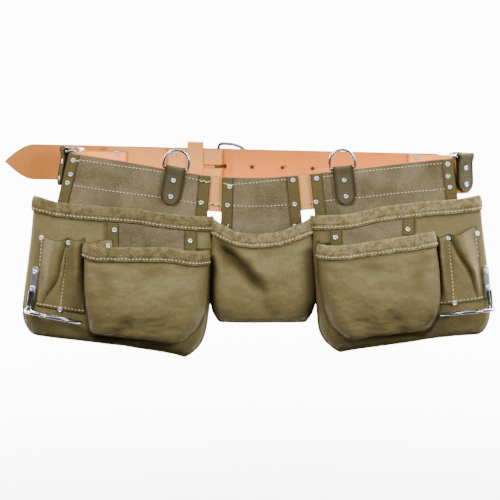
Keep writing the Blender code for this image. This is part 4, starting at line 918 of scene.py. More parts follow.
def wall_mask(bag, downs, shares, sewn_on, side_shade):
    """Painted shade on a pouch's wall: in folds, at its sides, under its binding and round a pouch sewn on.
    """
    rows = []
    for down, away in zip(downs, turned_away(bag.grid(downs, shares))):
        across, forward = bag.level(down, shares)
        point = bag.point(across, forward, np.full(across.shape, down))
        x, z = point[:, 0], point[:, 2]
        shade = FOLD_SHADE * bag.valley(x, z, np.full(x.shape, down)) * np.clip(forward, 0, 1)
        shade = np.maximum(shade, side_shade * np.clip(1.1 - forward / 0.75, 0, 1))
        turned = np.clip((away - 0.25) / 0.45, 0, 1) * np.clip((down - 0.55) / 0.2, 0, 1)
        shade = np.maximum(shade, TURNED_SHADE * turned)
        below = (bag.rim(across) - z) - BINDING_HEIGHT
        shade = np.maximum(shade, np.where(below > 0, RIM_SHADE * np.exp(-below / RIM_SHADE_FALL), 0.0))
        low = sum(amount * np.clip((down - start) / run, 0, 1) for start, run, amount in LOW_SHADES)
        shade = np.maximum(shade, low)
        if sewn_on:
            rim, foot = sewn_on.rim(0.0), sewn_on.z(0.0, 1.0)
            there = np.clip((rim - z) / (rim - foot), 0, 1)
            outer = (x - sewn_on.centre) * sewn_on.side > 0
            reach = sewn_on.half * np.where(outer, sewn_on.section[1](there), sewn_on.section[2](there))
            beside = (np.abs(x - sewn_on.centre) - reach) / NEAR_REACH
            under = (foot - z) / NEAR_REACH
            near = np.clip(1 - np.maximum(np.maximum(beside, under), 0), 0, 1)
            shade = np.maximum(shade, np.where(z < rim - NEAR_TOP, NEAR_SHADE * near, 0.0))
        rows.append(shade)
    return np.array(rows)


print("low shades", len(LOW_SHADES))

# %% [markdown]
# ## Pouches
# A real pouch is one piece of hide, bent round and sewn to the panel down both sides, with a strip that runs
# up beside its mouth. A cloth simulation could bulge it, but would move its seams. Here each pouch is its
# bag's wall with a strip up each side. The inner face is the rough side of the leather.

# %% Pouches
# Rows lie closer together towards the bottom, where the wall turns in
POUCH_ROWS = 1 - (1 - np.linspace(0, 1, 84)) ** 1.35
SIDE_SHADE = 0.75
SIDE_SHADES = {"center": 0.5}
WING_SHADE = 0.40
FORWARD = (0, -1, 0)
SKIN = [looks["smooth"], looks["suede"]]
for group, name_start, columns in ((bags, "pouch_", 120), (small_bags, "small_pouch_", 96)):
    for name, bag in group.items():
        shares = np.linspace(0, 1, columns)
        grids = [bag.grid(POUCH_ROWS, shares)]
        for outer in (True, False):
            grids.append(bag.wing(outer))
        sewn_on = small_bags.get(name) if group is bags else None
        masks = [wall_mask(bag, POUCH_ROWS, shares, sewn_on, SIDE_SHADES.get(name, SIDE_SHADE))]
        masks += [np.maximum(side_mask(grid), WING_SHADE) for grid in grids[1:]]
        piece = leather(name_start + name, grids, bag.wall, SKIN, FORWARD, masks=masks)
        piece = settle(bake(piece), [name_start + name])
        print(piece.name, made_pieces[piece.name], "faces")

# %% [markdown]
# ## Panels and patches
# The suede panels hang from the band behind the pouches. Each small pouch has a suede patch behind it. Both
# are sheets that hang straight, so a grid with slight waves does.

# %% Panels and patches
PANEL_END = 0.985
PANEL_WAVE, PANEL_WAVE_SCALE = 0.0004, 30.0
PATCH_END = 0.32
PATCH_SHADES = {"left": 0.22, "right": 0.12}


def band_base(seed):
    """A base just behind the band, with soft waves in it."""
    return lambda x, z: FRONT_Y - GAP - PANEL_WAVE * np.clip(ruffle(x, z, PANEL_WAVE_SCALE, seed) + 0.3, 0, 1)


def back_grid(bag, base, wall, end, rows, columns):
    """Points of the suede sheet behind a bag, from its top line down to a share of the bag's height."""
    part = np.linspace(0, 1, columns)[None, :]
    share = np.linspace(1, 0, rows)[:, None]
    left, right = bag.wing_x(True, share), bag.wing_x(False, share)
    x_up = left + (right - left) * part
    rims = bag.rim(bag.flange(True)), bag.rim(bag.flange(False))
    start = rims[0] + (rims[1] - rims[0]) * part
    z_up = start + (bag.top_line(x_up) - start) * share
    down = np.linspace(0, end, rows)[1:, None]
    edges = bag.flange(True, down), bag.flange(False, down)
    across = edges[0] + (edges[1] - edges[0]) * part
    x_down = bag.x(across, down)
    highs = bag.rim(edges[0]) + (bag.rim(edges[1]) - bag.rim(edges[0])) * part
    z_down = highs + (bag.z(across, 1.0) - highs) * down
    x = np.vstack([x_up, x_down])
    z = np.vstack([z_up, z_down])
    return np.stack([x, base(x, z) - wall / 2, z], -1)


for name, bag in bags.items():
    grid = back_grid(bag, band_base(bag.seed + 2), PANEL_WALL, PANEL_END, 44, 60)
    piece = leather("panel_" + name, [grid], PANEL_WALL, [looks["suede"]], FORWARD,
                    masks=[side_mask(grid, ends=True) * 0.6])
    piece = settle(bake(piece), ["panel_" + name])
for name, bag in small_bags.items():
    grid = back_grid(bag, seat_on(bags[name], SEAT), PATCH_WALL, PATCH_END, 22, 60)
    piece = leather("small_back_" + name, [grid], PATCH_WALL, [looks["suede"]], FORWARD,
                    masks=[np.full(grid.shape[:2], PATCH_SHADES[name])])
    piece = settle(bake(piece), ["small_back_" + name])

# %% [markdown]
# ## Bindings
# A folded suede strip covers each mouth and hides the cut edge. Its section runs up the outside, over the
# edge and down the inside. A bevelled curve could follow the mouth, but couldn't lean with the wall or have
# the groove where the thread draws it in.

# %% Bindings
BINDING_ROWS = (1.0, 0.95, 0.88, 0.80, 0.72, 0.66, 0.62, 0.58, 0.50, 0.38, 0.26, 0.14, 0.05)
GROOVE, GROOVE_DEPTH = 0.62, 0.0009
BINDING_SWELL = 0.0014
BINDING_WAVE, BINDING_WAVE_SCALE = 0.0009, 150.0
BINDING_SEAM = 0.0037
TAIL_HEIGHT = 0.0150
TAIL_LIFT = 0.0066
TAILS = {
    "left": ((-0.2498, -0.1011), (-0.2415, -0.1011), (-0.2276, -0.0978), (-0.2165, -0.0965),
             (-0.2102, -0.0969)),
    "right": ((0.2109, -0.0906), (0.2234, -0.0896), (0.2387, -0.0885)),
}


def binding_swell(share):
    """How far a binding swells out at a share of its height."""
    return BINDING_SWELL * math.sin(math.pi * share) ** 0.7


def binding_grid(bag, shares, stand):
    """Points of a binding's strip, and of its stitch line."""
    count = len(shares)
    places = np.linspace(-0.9, 0.9, 9)
    fall = float(np.mean(bag.z(places, 0.0) - bag.z(places, 1.0)))
    top = bag.grid([0.0], shares)[0]
    low = bag.grid([0.03], shares)[0]
    down_way = (low - top) / np.linalg.norm(low - top, axis=-1)[:, None]
    along = np.gradient(top, axis=0)
    along /= np.linalg.norm(along, axis=-1)[:, None]
    normal = np.cross(along, down_way)
    normal /= np.linalg.norm(normal, axis=-1)[:, None]
    middle = top[count // 2]
    if normal[count // 2][1] > 0:
        normal = -normal

    def at(depth, reach):
        """A line at a depth below the edge and a reach out from the wall's middle."""
        wall = bag.grid([depth / fall], shares)[0] if depth > 0 else top - down_way * depth
        return wall + normal * reach

    rows = []
    wave = BINDING_WAVE * ruffle(top[:, 0], top[:, 2] + middle[1], BINDING_WAVE_SCALE, bag.seed + 5)[:, None]
    for share in BINDING_ROWS:
        swell = binding_swell(share) - (GROOVE_DEPTH if share == GROOVE else 0)
        rows.append(at(BINDING_HEIGHT * share, stand + swell) + normal * wave)
    for turn in np.linspace(0, math.pi, 9)[1:-1]:
        rows.append(top - down_way * (math.sin(turn) * stand) + normal * (math.cos(turn) * stand))
    for depth in np.linspace(0.0008, BINDING_INSIDE, 6):
        rows.append(at(depth, -stand))
    seam = 1 - BINDING_SEAM / BINDING_HEIGHT
    stitches = at(BINDING_HEIGHT * seam, stand + binding_swell(seam) + BINDING_WALL / 2 + GAP) + normal * wave
    return np.array(rows), stitches


stitch_lines = []
binding_sets = [("binding_" + name, bag, 150) for name, bag in bags.items()]
binding_sets += [("small_binding_" + name, bag, 120) for name, bag in small_bags.items()]
for name, bag, count in binding_sets:
    shares = np.linspace(0.012, 0.988, count)
    stand = bag.wall / 2 + BINDING_WALL / 2 + 0.0004
    rows, line = binding_grid(bag, shares, stand)
    # The left bindings are darker all over; painted shade darkens each binding's lower edge and its groove
    mask = np.full(rows.shape[:2], 0.40 if name.endswith("left") else 0.05)
    mask[0] = 0.8
    mask[BINDING_ROWS.index(GROOVE)] = 0.55
    piece = leather(name, [rows], BINDING_WALL, [looks["binding"]], FORWARD, edge=0.0003, masks=[mask])
    settle(bake(piece), [name])
    stitch_lines.append(line[3:-3])
for name, top_line in TAILS.items():
    xs, tops = np.array(top_line).T
    x = np.linspace(xs[0], xs[-1], 24)[None, :]
    top = np.interp(x, xs, tops)
    z = top - TAIL_HEIGHT * np.array([0.0, 0.04, 0.1, 0.5, 0.9, 1.0])[:, None]
    x = x + 0 * z
    y = bags[name].face(x, z) - TAIL_LIFT
    grid = np.stack([x, y, z], -1)
    piece = leather("binding_tail_" + name, [grid], BINDING_WALL, [looks["binding"]], FORWARD, edge=0.0003,
                    masks=[side_mask(grid, ends=True) * 0.8])
    settle(bake(piece))
print("bindings", len(binding_sets), "and tails", len(TAILS))

# %% [markdown]
# ## Belt
# The belt is thick, firm leather in three lengths. The band carries the panels. The two back straps meet at
# the buckle, and the billet runs on through the keeper. Each is a row of cross lines along its middle line,
# because that keeps its width true round the bends. A Boolean punches the holes, as clean as a real punch.

# %% Belt
BELT_EDGE = 0.0007
STRAP_Y = BACK_Y + GAP + BELT_THICK / 2
FOLD_Y = BACK_Y - BELT_THICK / 2
BAR_X = -0.0658
BAR_RADIUS = 0.0022
BAR_Y = BACK_Y + GAP / 2
FOLD_RADIUS = BAR_RADIUS + GAP + BELT_THICK / 2
FOLD_END = 0.1406
BUCKLE_STRAP_END = 0.2310
BILLET_Y = BACK_Y + GAP + BELT_THICK + 0.0018 + BELT_THICK / 2
BILLET_CREST = BAR_Y + FOLD_RADIUS + BELT_THICK + GAP
BILLET_END = 0.2487
BILLET_TIP = 0.3720
BILLET_POINT = 0.0400
HOLES = (-0.0560, -0.0172, 0.0265, 0.0696)
HOLE_FIRST = HOLES[0]
HOLE_RADIUS = 0.0027
SLOT_RADIUS = 0.0026
SLOT_LENGTH = 0.0230
CUT_LENGTH = 0.027
FRAME_RADIUS = 0.0022
FRAME_LENGTH = 0.0460
FRAME_HALF_HEIGHT = 0.0325
FRAME_TILT = math.radians(18.0)
FRAME_CORNER = 0.0040
FRAME_SQUARENESS = 0.83
POINT_OUTLINE = ((0.00, 0.03), (0.12, 0.20), (0.35, 0.52), (0.62, 0.80), (0.85, 0.96), (1.00, 1.00))
STRAP_COLUMNS = np.array([-1.0, -0.97, -0.93, -0.6, -0.2, 0.2, 0.6, 0.93, 0.97, 1.0])


print("holes", len(HOLES))

# %% Strap paths


def strap_grid(spots, ups, halves):
    """Points of a strap from its middle line, its across directions and its half widths."""
    spots, ups = np.array(spots, float), np.array(ups, float)
    ups /= np.linalg.norm(ups, axis=-1)[:, None]
    share = STRAP_COLUMNS[None, :, None]
    return spots[:, None, :] + ups[:, None, :] * np.asarray(halves)[:, None, None] * share


def band_path():
    """The band's middle line and across directions from its left end round to its right end."""
    middle = LOOP_DEPTH / 2 - BELT_THICK / 2
    left = -LOOP_LEFT + BELT_THICK / 2
    height = float(band_height(-BAND_REACH))
    spots, ups = [], []
    end = np.array([-BAND_END_LEFT, middle, -BAND_END_LOW])
    corner = np.array([left + LEFT_CORNER, middle, height])
    for share in np.linspace(0, 1, 14)[:-1]:
        spots.append(end + (corner - end) * share)
        ups.append((math.tan(LEFT_LEAN) / 3, 0, 1))
    for centre_y, start in ((middle - LEFT_CORNER, 90), (-middle + LEFT_CORNER, 180)):
        for turn in np.radians(np.linspace(start, start + 90, 12)):
            spots.append((left + LEFT_CORNER + LEFT_CORNER * math.cos(turn),
                          centre_y + LEFT_CORNER * math.sin(turn), height))
            lean = LEFT_LEAN * min(0.35 + 0.65 * (turn - math.pi / 2) / (math.pi / 2), 1.0)
            ups.append((math.tan(lean), 0, 1))
    right_centre = LOOP_RIGHT - BELT_THICK / 2 - middle
    for x in np.linspace(left + LEFT_CORNER, right_centre, 90)[1:-1]:
        spots.append((x, -middle, float(band_height(x))))
        ups.append((-float(band_slope(x)), 0, 1))
    right_height = float(band_height(right_centre))
    for turn in np.radians(np.linspace(-90, 90, 30)):
        spots.append((right_centre + middle * math.cos(turn), middle * math.sin(turn), right_height))
        ups.append((math.tan(RIGHT_LEAN), 0, 1))
    start = np.array([right_centre, middle, right_height])
    end = np.array([BAND_END_RIGHT, middle, float(back_height(BAND_END_RIGHT))])
    for share in np.linspace(0, 1, 12)[1:]:
        spots.append(start + (end - start) * share)
        ups.append((-BACK_SLOPE, 0, 1))
    return spots, ups


def back_strap(way, halves, steps):
    """A strap along the back from a list of x and y."""
    line = spline([(x, y, 0.0) for x, y in way], steps)
    line[:, 2] = back_height(line[:, 0])
    widths = np.interp(np.linspace(0, len(way) - 1, len(line)), range(len(way)), halves)
    return strap_grid(line, [(-BACK_SLOPE, 0, 1)] * len(line), widths)


print("strap columns", len(STRAP_COLUMNS))

# %% Punched shapes


def punch(piece, cutters):
    """Cuts hidden shapes out of a piece, then removes them."""
    for cutter in cutters:
        hole = piece.modifiers.new("hole", "BOOLEAN")
        hole.solver = "EXACT"
        hole.object = cutter
    solid = bake(piece)
    for cutter in cutters:
        bpy.data.objects.remove(cutter)
    return solid


def peg(spot, direction, radius, length, stretch=0.0):
    """A round shape, or one stretched along x."""
    work = bmesh.new()
    turn = Vector(direction).to_track_quat("Z", "Y").to_matrix().to_4x4()
    bmesh.ops.create_cone(work, cap_ends=True, segments=28, radius1=radius, radius2=radius, depth=length,
                          matrix=Matrix.Translation(spot) @ turn)
    for corner in work.verts:
        if corner.co.x > spot[0] + radius * 0.01:
            corner.co.x += stretch
    mesh = bpy.data.meshes.new("peg")
    work.to_mesh(mesh)
    work.free()
    mesh.materials.append(hole_shadow_look)
    return add_object("peg", mesh)


print("cutters are", CUT_LENGTH, "long")

# %% Front band
spots, ups = band_path()
grid = strap_grid(spots, ups, [BELT_WIDTH / 2] * len(spots))
band = leather("front_band", [grid], BELT_THICK, [looks["pale"]], FORWARD, edge=BELT_EDGE,
               masks=[side_mask(grid, ends=True)])
settle(bake(band), ["front_band"])
print("band rows", len(grid))

# %% Buckle strap
way = [(-BUCKLE_STRAP_END, STRAP_Y), (BAR_X - 0.110, STRAP_Y), (BAR_X - 0.050, STRAP_Y),
       (BAR_X - 0.018, STRAP_Y), (BAR_X - 0.009, STRAP_Y + (BAR_Y + FOLD_RADIUS - STRAP_Y) * 0.7)]
for turn in np.radians(np.linspace(90, -90, 9)):
    way.append((BAR_X + FOLD_RADIUS * math.cos(turn), BAR_Y + FOLD_RADIUS * math.sin(turn)))
way += [(BAR_X - 0.009, FOLD_Y + (BAR_Y - FOLD_RADIUS - FOLD_Y) * 0.7), (BAR_X - 0.018, FOLD_Y),
        (BAR_X - 0.045, FOLD_Y), (-FOLD_END, FOLD_Y)]
grid = back_strap(way, [BELT_WIDTH / 2] * len(way), 5)
strap = leather("buckle_strap", [grid], BELT_THICK, [looks["cream"]], (0, 1, 0), edge=BELT_EDGE,
                masks=[side_mask(grid, 0.0008, True)])
slot_z = float(back_height(BAR_X))
slot = peg((BAR_X - SLOT_LENGTH + 0.0040, BAR_Y, slot_z), (0, 1, 0), SLOT_RADIUS, CUT_LENGTH, SLOT_LENGTH)
settle(punch(strap, [slot]), ["buckle_strap"])
print("buckle strap rows", len(grid))

# %% Billet strap
under = FRAME_LENGTH / 2
limit = BAR_Y + math.tan(FRAME_TILT) * under - FRAME_RADIUS * 1.1 - GAP - BELT_THICK / 2
way = [(BILLET_END, STRAP_Y), (BAR_X + FRAME_LENGTH * 3, STRAP_Y), (BAR_X + FRAME_LENGTH * 1.5, STRAP_Y),
       (BAR_X + FRAME_LENGTH * 0.85, STRAP_Y), (BAR_X + under * 1.25, STRAP_Y + (limit - STRAP_Y) * 0.45),
       (BAR_X + under, limit - 0.0005), (BAR_X + under * 0.75, limit + (BILLET_CREST - limit) * 0.55),
       (BAR_X + under * 0.5, BILLET_CREST), (BAR_X - 0.004, BILLET_CREST),
       (BAR_X - 0.012, BILLET_CREST + (BILLET_Y - BILLET_CREST) * 0.6), (BAR_X - 0.019, BILLET_Y),
       (-0.180, BILLET_Y), (-0.260, BILLET_Y), (-BILLET_TIP + BILLET_POINT, BILLET_Y)]
halves = [BELT_WIDTH / 2] * len(way)
outline = smooth_table(POINT_OUTLINE)
for along in np.linspace(1, 0, 22)[1:]:
    way.append((-BILLET_TIP + along * BILLET_POINT, BILLET_Y))
    halves.append(float(outline(along)) * BELT_WIDTH / 2)
grid = back_strap(way, halves, 6)
billet = leather("billet_strap", [grid], BELT_THICK, [looks["tan"]], (0, 1, 0), edge=BELT_EDGE,
                 masks=[side_mask(grid, 0.0008) * 0.7])
hole_cutters = []
for x in HOLES:
    hole_cutters.append(peg((x, BILLET_Y, float(back_height(x))), (0, 1, 0), HOLE_RADIUS, CUT_LENGTH))
settle(punch(billet, hole_cutters), ["billet_strap"])
# Dark discs paint the shadow inside each hole; the first lies on the strap's crest over the bar
for index, x in enumerate(HOLES):
    y = STRAP_Y if index else BILLET_CREST
    shadow_disc = peg((x, y, float(back_height(x))), (0, 1, 0), HOLE_RADIUS + 0.0003, 0.0004)
    shadow_disc.name = "hole_fibres_" + str(index)
    settle(shadow_disc)
print("belt", [made_pieces[name + "_leather"] for name in ("front_band", "buckle_strap", "billet_strap")])

# %% [markdown]
# ## Keeper and buckle
# The keeper is a leather loop round both straps. The buckle's frame and prong are bent from round steel wire,
# so a curve with a round bevel makes them. A ring cut from a solid would show hard corners instead.

# %% Keeper
KEEPER_X = -0.0990
KEEPER_WIDTH = 0.0230
KEEPER_WALL = 0.0020
near = FOLD_Y - BELT_THICK / 2 - GAP - KEEPER_WALL / 2
far = BILLET_Y + BELT_THICK / 2 + GAP + KEEPER_WALL / 2
low_edge = -BELT_WIDTH / 2 - GAP - KEEPER_WALL / 2
high_edge = BELT_WIDTH / 2 + 0.0090 - KEEPER_WALL / 2
corner = 0.0018
path = []
for cy, cz, start in ((far - corner, high_edge - corner, 0), (near + corner, high_edge - corner, 90),
                      (near + corner, low_edge + corner, 180), (far - corner, low_edge + corner, 270)):
    for turn in np.radians(np.linspace(start, start + 90, 6)):
        path.append((cy + corner * math.cos(turn), cz + corner * math.sin(turn)))
rows = []
for y, z in path:
    spot = np.array([KEEPER_X - BACK_SLOPE * z, y, float(back_height(KEEPER_X)) + z])
    along = np.array([1, 0, BACK_SLOPE])
    rows.append([spot + along * KEEPER_WIDTH * (share - 0.5) for share in np.linspace(0, 1, 7)])
rows = np.array(rows)
keeper = leather("keeper_loop", [rows], KEEPER_WALL, [looks["cream"]], (0, 0, 1), edge=0.0005, closed=True)
settle(bake(keeper), ["keeper_loop"])
print("keeper", made_pieces["keeper_loop_leather"], "faces")

# %% Buckle frame
lean = math.tan(FRAME_TILT)
strap_up = Vector((-BACK_SLOPE, 0, 1)).normalized()


def frame_point(along, height):
    """A point of the buckle's frame."""
    return Vector((BAR_X + along, BAR_Y + along * lean, slot_z)) + strap_up * height


inset = FRAME_CORNER
line = [frame_point(0, h) for h in np.linspace(-FRAME_HALF_HEIGHT + inset, FRAME_HALF_HEIGHT - inset, 8)]
line.append(frame_point(inset * 0.3, FRAME_HALF_HEIGHT - inset * 0.3))
for turn in np.radians(np.linspace(90, -90, 61)):
    reach = keep_sign(math.cos(turn), FRAME_SQUARENESS)
    line.append(frame_point(inset + (FRAME_LENGTH - inset) * reach,
                            FRAME_HALF_HEIGHT * keep_sign(math.sin(turn), FRAME_SQUARENESS)))
line.append(frame_point(inset * 0.3, -FRAME_HALF_HEIGHT + inset * 0.3))
settle(wire("buckle_frame", line, FRAME_RADIUS, buckle_look, closed=True), ["buckle_frame"])
print("frame points", len(line))

# %% Prong
PRONG_RADIUS = 0.0016
curl = BAR_RADIUS + GAP + PRONG_RADIUS
outside = BILLET_CREST + BELT_THICK / 2 + GAP + PRONG_RADIUS
frame_end = BAR_X + FRAME_LENGTH
rest = BAR_Y + lean * FRAME_LENGTH + (FRAME_RADIUS + GAP + PRONG_RADIUS) * 1.1
route = []
for turn in np.radians(np.linspace(130, 347, 16)):
    route.append((BAR_X + curl * math.cos(turn), BAR_Y + curl * math.sin(turn), slot_z))
tail = spline([route[-1], (HOLE_FIRST - 0.0012, BAR_Y + 0.0030, slot_z),
               (HOLE_FIRST, BILLET_CREST - BELT_THICK / 2 - 0.0004, slot_z),
               (HOLE_FIRST, BILLET_CREST + BELT_THICK / 2 + GAP, slot_z),
               (HOLE_FIRST + 0.0012, outside + 0.0006, slot_z),
               (frame_end - 0.004, rest, slot_z), (frame_end + FRAME_RADIUS, rest + 0.0008, slot_z)], 4)
settle(wire("buckle_prong", route + list(tail[1:]), PRONG_RADIUS, buckle_look), ["buckle_prong"])
print("prong points", len(route) + len(tail) - 1)

# %% [markdown]
# ## Ring tabs and D-rings
# Four dark tabs fold over the bars of the D-rings. A tab is a strip whose path goes up the back, round the
# bar and down the front. A bend modifier could fold it, but a path keeps the fold clear of the wire. Each
# ring rides on its own body, so it can swing.

# %% Tab and ring sizes
TAB_WIDTH = 0.0280
TAB_LENGTH = 0.0540
TAB_WALL = 0.0022
LEFT_TAB_TURN = math.radians(17.0)
LEFT_TAB_SHIFT = 0.0070
RING_WIRE = 0.0018
RING_WIDTH = 0.0390
RING_ARM = 0.0090
RING_RISE = 0.0025
RING_CORNER = 0.0030
RING_FOLDED = {"end_left": math.radians(-80.0), "end_right": math.radians(-84.0)}
LOOP_MIDDLE = RING_WIRE + GAP + TAB_WALL / 2
# The bars lie on the joints' axes, which were placed for the frame's thinner wire
FRAME_RING_WIRE = 0.0016
BAR_OUT = GAP + TAB_WALL + FRAME_RING_WIRE + GAP
TAB_FACE = GAP + 2 * TAB_WALL + GAP
TAB_RIVETS = (-0.0138, -0.0372)


def tab_frames():
    """Each tab's name with the middle of the band's top edge there and its up and out directions."""
    frames = {}
    for name, x in (("front_left", -0.1296), ("front_right", 0.1140)):
        up = Vector((-float(band_slope(x)), 0, 1)).normalized()
        spot = Vector((x, PANEL_FACE, float(band_height(x)))) + up * BELT_WIDTH / 2
        frames[name] = (spot, up, Vector((0, -1, 0)))
    up = Vector((math.tan(LEFT_LEAN), 0, 1)).normalized()
    turn = math.pi + LEFT_TAB_TURN
    forward = Vector((-math.sin(turn), math.cos(turn), 0))
    middle = LOOP_DEPTH / 2 - BELT_THICK / 2
    spot = Vector((-LOOP_LEFT + BELT_THICK / 2 + LEFT_CORNER, -middle + LEFT_CORNER,
                   float(band_height(-BAND_REACH))))
    spot += Vector((math.cos(turn), math.sin(turn), 0)) * (LEFT_CORNER + BELT_THICK / 2)
    spot += up * BELT_WIDTH / 2 - forward * LEFT_TAB_SHIFT
    frames["end_left"] = (spot, up, forward.cross(up).normalized())
    right_centre = LOOP_RIGHT - LOOP_DEPTH / 2
    turn = math.radians(38.0 - 90.0)
    out = Vector((math.cos(turn), math.sin(turn), 0))
    up = Vector((math.tan(RIGHT_LEAN), 0, 1)).normalized()
    spot = Vector((right_centre, 0, float(band_height(right_centre)))) + out * (LOOP_DEPTH / 2 + GAP)
    frames["end_right"] = (spot + up * BELT_WIDTH / 2, up, out)
    return frames


print("tabs at", list(tab_frames()))

# %% Tabs and rings
rivet_spots = []
for name, (spot, up, out) in tab_frames().items():
    along = up.cross(out).normalized()
    back = GAP + TAB_WALL / 2
    front = back + TAB_WALL + GAP
    low_end = RING_RISE + LOOP_MIDDLE - TAB_LENGTH
    radius = TAB_WIDTH / 2
    profile = []
    for turn in np.radians(np.linspace(12, 90, 12)):
        profile.append((back, low_end + radius * (1 - math.cos(turn)), radius * math.sin(turn)))
    profile.append((back, RING_RISE - 0.004, radius))
    for turn in np.radians(np.linspace(180, 0, 17)):
        profile.append((BAR_OUT + LOOP_MIDDLE * math.cos(turn), RING_RISE + LOOP_MIDDLE * math.sin(turn),
                        radius))
    profile.append((front + (BAR_OUT + LOOP_MIDDLE - front) * 0.35, RING_RISE - 0.0055, radius))
    profile.append((front, RING_RISE - 0.0100, radius))
    for turn in np.radians(np.linspace(90, 12, 12)):
        profile.append((front, low_end + radius * (1 - math.cos(turn)), radius * math.sin(turn)))
    spots = [np.array(spot + out * reach + up * height) for reach, height, half in profile]
    grid = strap_grid(spots, [tuple(along)] * len(spots), [half for reach, height, half in profile])
    # The end_left tab gets painted shade all over, besides its darker rims
    tab = leather("ring_tab_" + name, [grid], TAB_WALL, [looks["tab"]], tuple(up), edge=0.0006,
                  masks=[np.maximum(side_mask(grid), 0.6 if name == "end_left" else 0.0)])
    settle(bake(tab), ["ring_tab_" + name])
    sunk = 0.0014 if name == "end_left" else 0.0
    for height in TAB_RIVETS:
        rivet_spots.append((spot + out * (TAB_FACE - sunk) + up * height, out))

    half = RING_WIDTH / 2 - RING_WIRE
    line = []
    for turn in np.radians(np.linspace(0, 90, 6)):
        line.append((half - RING_CORNER * (1 - math.sin(turn)), RING_CORNER * (1 - math.cos(turn))))
    for turn in np.radians(np.linspace(0, 180, 41)):
        line.append((half * math.cos(turn), RING_ARM + half * math.sin(turn)))
    for turn in np.radians(np.linspace(90, 0, 6)):
        line.append((-half + RING_CORNER * (1 - math.sin(turn)), RING_CORNER * (1 - math.cos(turn))))
    centre = spot + out * BAR_OUT + up * RING_RISE
    tilt = RING_FOLDED.get(name, 0.0)
    away = up * math.cos(tilt) + out * math.sin(tilt)
    line = [centre + along * x + away * z for x, z in line]
    ring = wire("d_ring_" + name, line, RING_WIRE, chrome_look, closed=True)
    settle(ring, ["d_ring_" + name], body="ring_" + name)
tab_rivets = [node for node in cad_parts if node.startswith("tab_rivet")]
print("tabs and rings", len(rivet_spots), "tab rivets stand for", len(tab_rivets))

# %% [markdown]
# ## Tool holsters
# One leather piece is sewn down along its ends and its middle. Between the seams it stands off as two loops
# for tools. Its hump is a sine that fades towards the bottom and is added to the pouch's own face, so its
# seams lie on the pouch without fitting by hand.

# %% Holster shape
HOLSTER_WALL = 0.0018
Holster = namedtuple(
    "Holster", "outer_top outer_low seam_top seam_low inner_top inner_low top low_outer low_inner bulge"
)
HUMP_BEYOND = 0.42
HOLSTERS = {
    "left": Holster(-0.3110, -0.3180, -0.2720, -0.2840, -0.2500, -0.2500, -0.0950, -0.1910, -0.2010, 0.0150),
    "right": Holster(0.2950, 0.3070, 0.2560, 0.2650, 0.2375, 0.2460, -0.0900, -0.1830, -0.1890, 0.0150),
}
# The loop folds over along a line: how far down, then the share from the outer seam to the middle seam
FOLDS = {
    "left": ((0.0, 0.97), (0.28, 0.84), (0.55, 0.76), (0.70, 0.58), (0.80, 0.40), (1.0, 0.25)),
    "right": ((0.0, 0.97), (0.25, 0.74), (0.42, 0.54), (0.60, 0.32), (1.0, 0.20)),
}
TOP_RISE = {"left": 0.0010, "right": 0.0110}


def holster_grid(name, holster, bag, rows=56, columns=52):
    """Points of a holster's wall."""
    down = np.linspace(0, 1, rows)[:, None]
    seams = [
        holster.outer_top + (holster.outer_low - holster.outer_top) * down,
        holster.seam_top + (holster.seam_low - holster.seam_top) * down,
        holster.inner_top + (holster.inner_low - holster.inner_top) * down,
    ]
    fold = smooth_table(FOLDS[name])(down)
    parts = []
    for loop in (0, 1):
        stop = np.linspace(0, 1, columns)[None, loop:]
        x = seams[loop] + (seams[loop + 1] - seams[loop]) * stop
        if loop == 0:
            ahead = np.clip((stop - 0.06) / (fold - 0.06), 0, 1)
            ridge = np.sin(math.pi * ahead**1.7) ** 0.8
            beyond = np.clip((stop - fold) / (1.001 - fold), 0, 1)
            hump = ridge + HUMP_BEYOND * np.sin(math.pi * beyond) * np.clip(down * 2.5, 0, 1)
            rise = TOP_RISE[name] * (1 - stop)
        else:
            hump = np.sin(math.pi * (stop + 0 * down) ** 1.5) ** 0.8
            rise = 0.0
        hump = np.clip(hump, 0, 1)
        part = (x - seams[0]) / (seams[2] - seams[0])
        ends = holster.low_outer + (holster.low_inner - holster.low_outer) * part
        top = holster.top + rise
        z = top + (ends - top) * down - 0.003 * hump * (1 - down)
        reach = holster.bulge * hump * np.maximum(1 - down**2.6, 0)
        y = bag.face(x, z) - GAP - 0.0003 - HOLSTER_WALL / 2 - reach
        parts.append(np.stack([x, y, z], -1))
    return np.concatenate(parts, axis=1)


print("fold rows", {name: len(rows) for name, rows in FOLDS.items()})

# %% Two holsters
for name, holster in HOLSTERS.items():
    bag = bags[name]
    grid = holster_grid(name, holster, bag)
    piece = leather("tool_holster_" + name, [grid], HOLSTER_WALL, SKIN, FORWARD,
                    masks=[side_mask(grid, ends=True) * 0.7])
    settle(bake(piece), ["tool_holster_" + name])
    skin = np.array([0, -HOLSTER_WALL / 2 - 0.0004, 0])
    stitch_lines.append(grid[4:23, 2] + skin)
    stitch_lines.append(grid[3:-2, 51] + skin)
    stitch_lines.append(grid[-3, 3:-3] + skin)
print("holsters", made_pieces["tool_holster_left_leather"], "faces each")

# %% [markdown]
# ## Hammer loops
# A dull steel plate is riveted over the outer seam of each holster and holds a bent wire ring. A torus would
# do for the ring alone, but the real wire comes down from the plate, goes round and returns to it, so one
# smooth line makes it all.

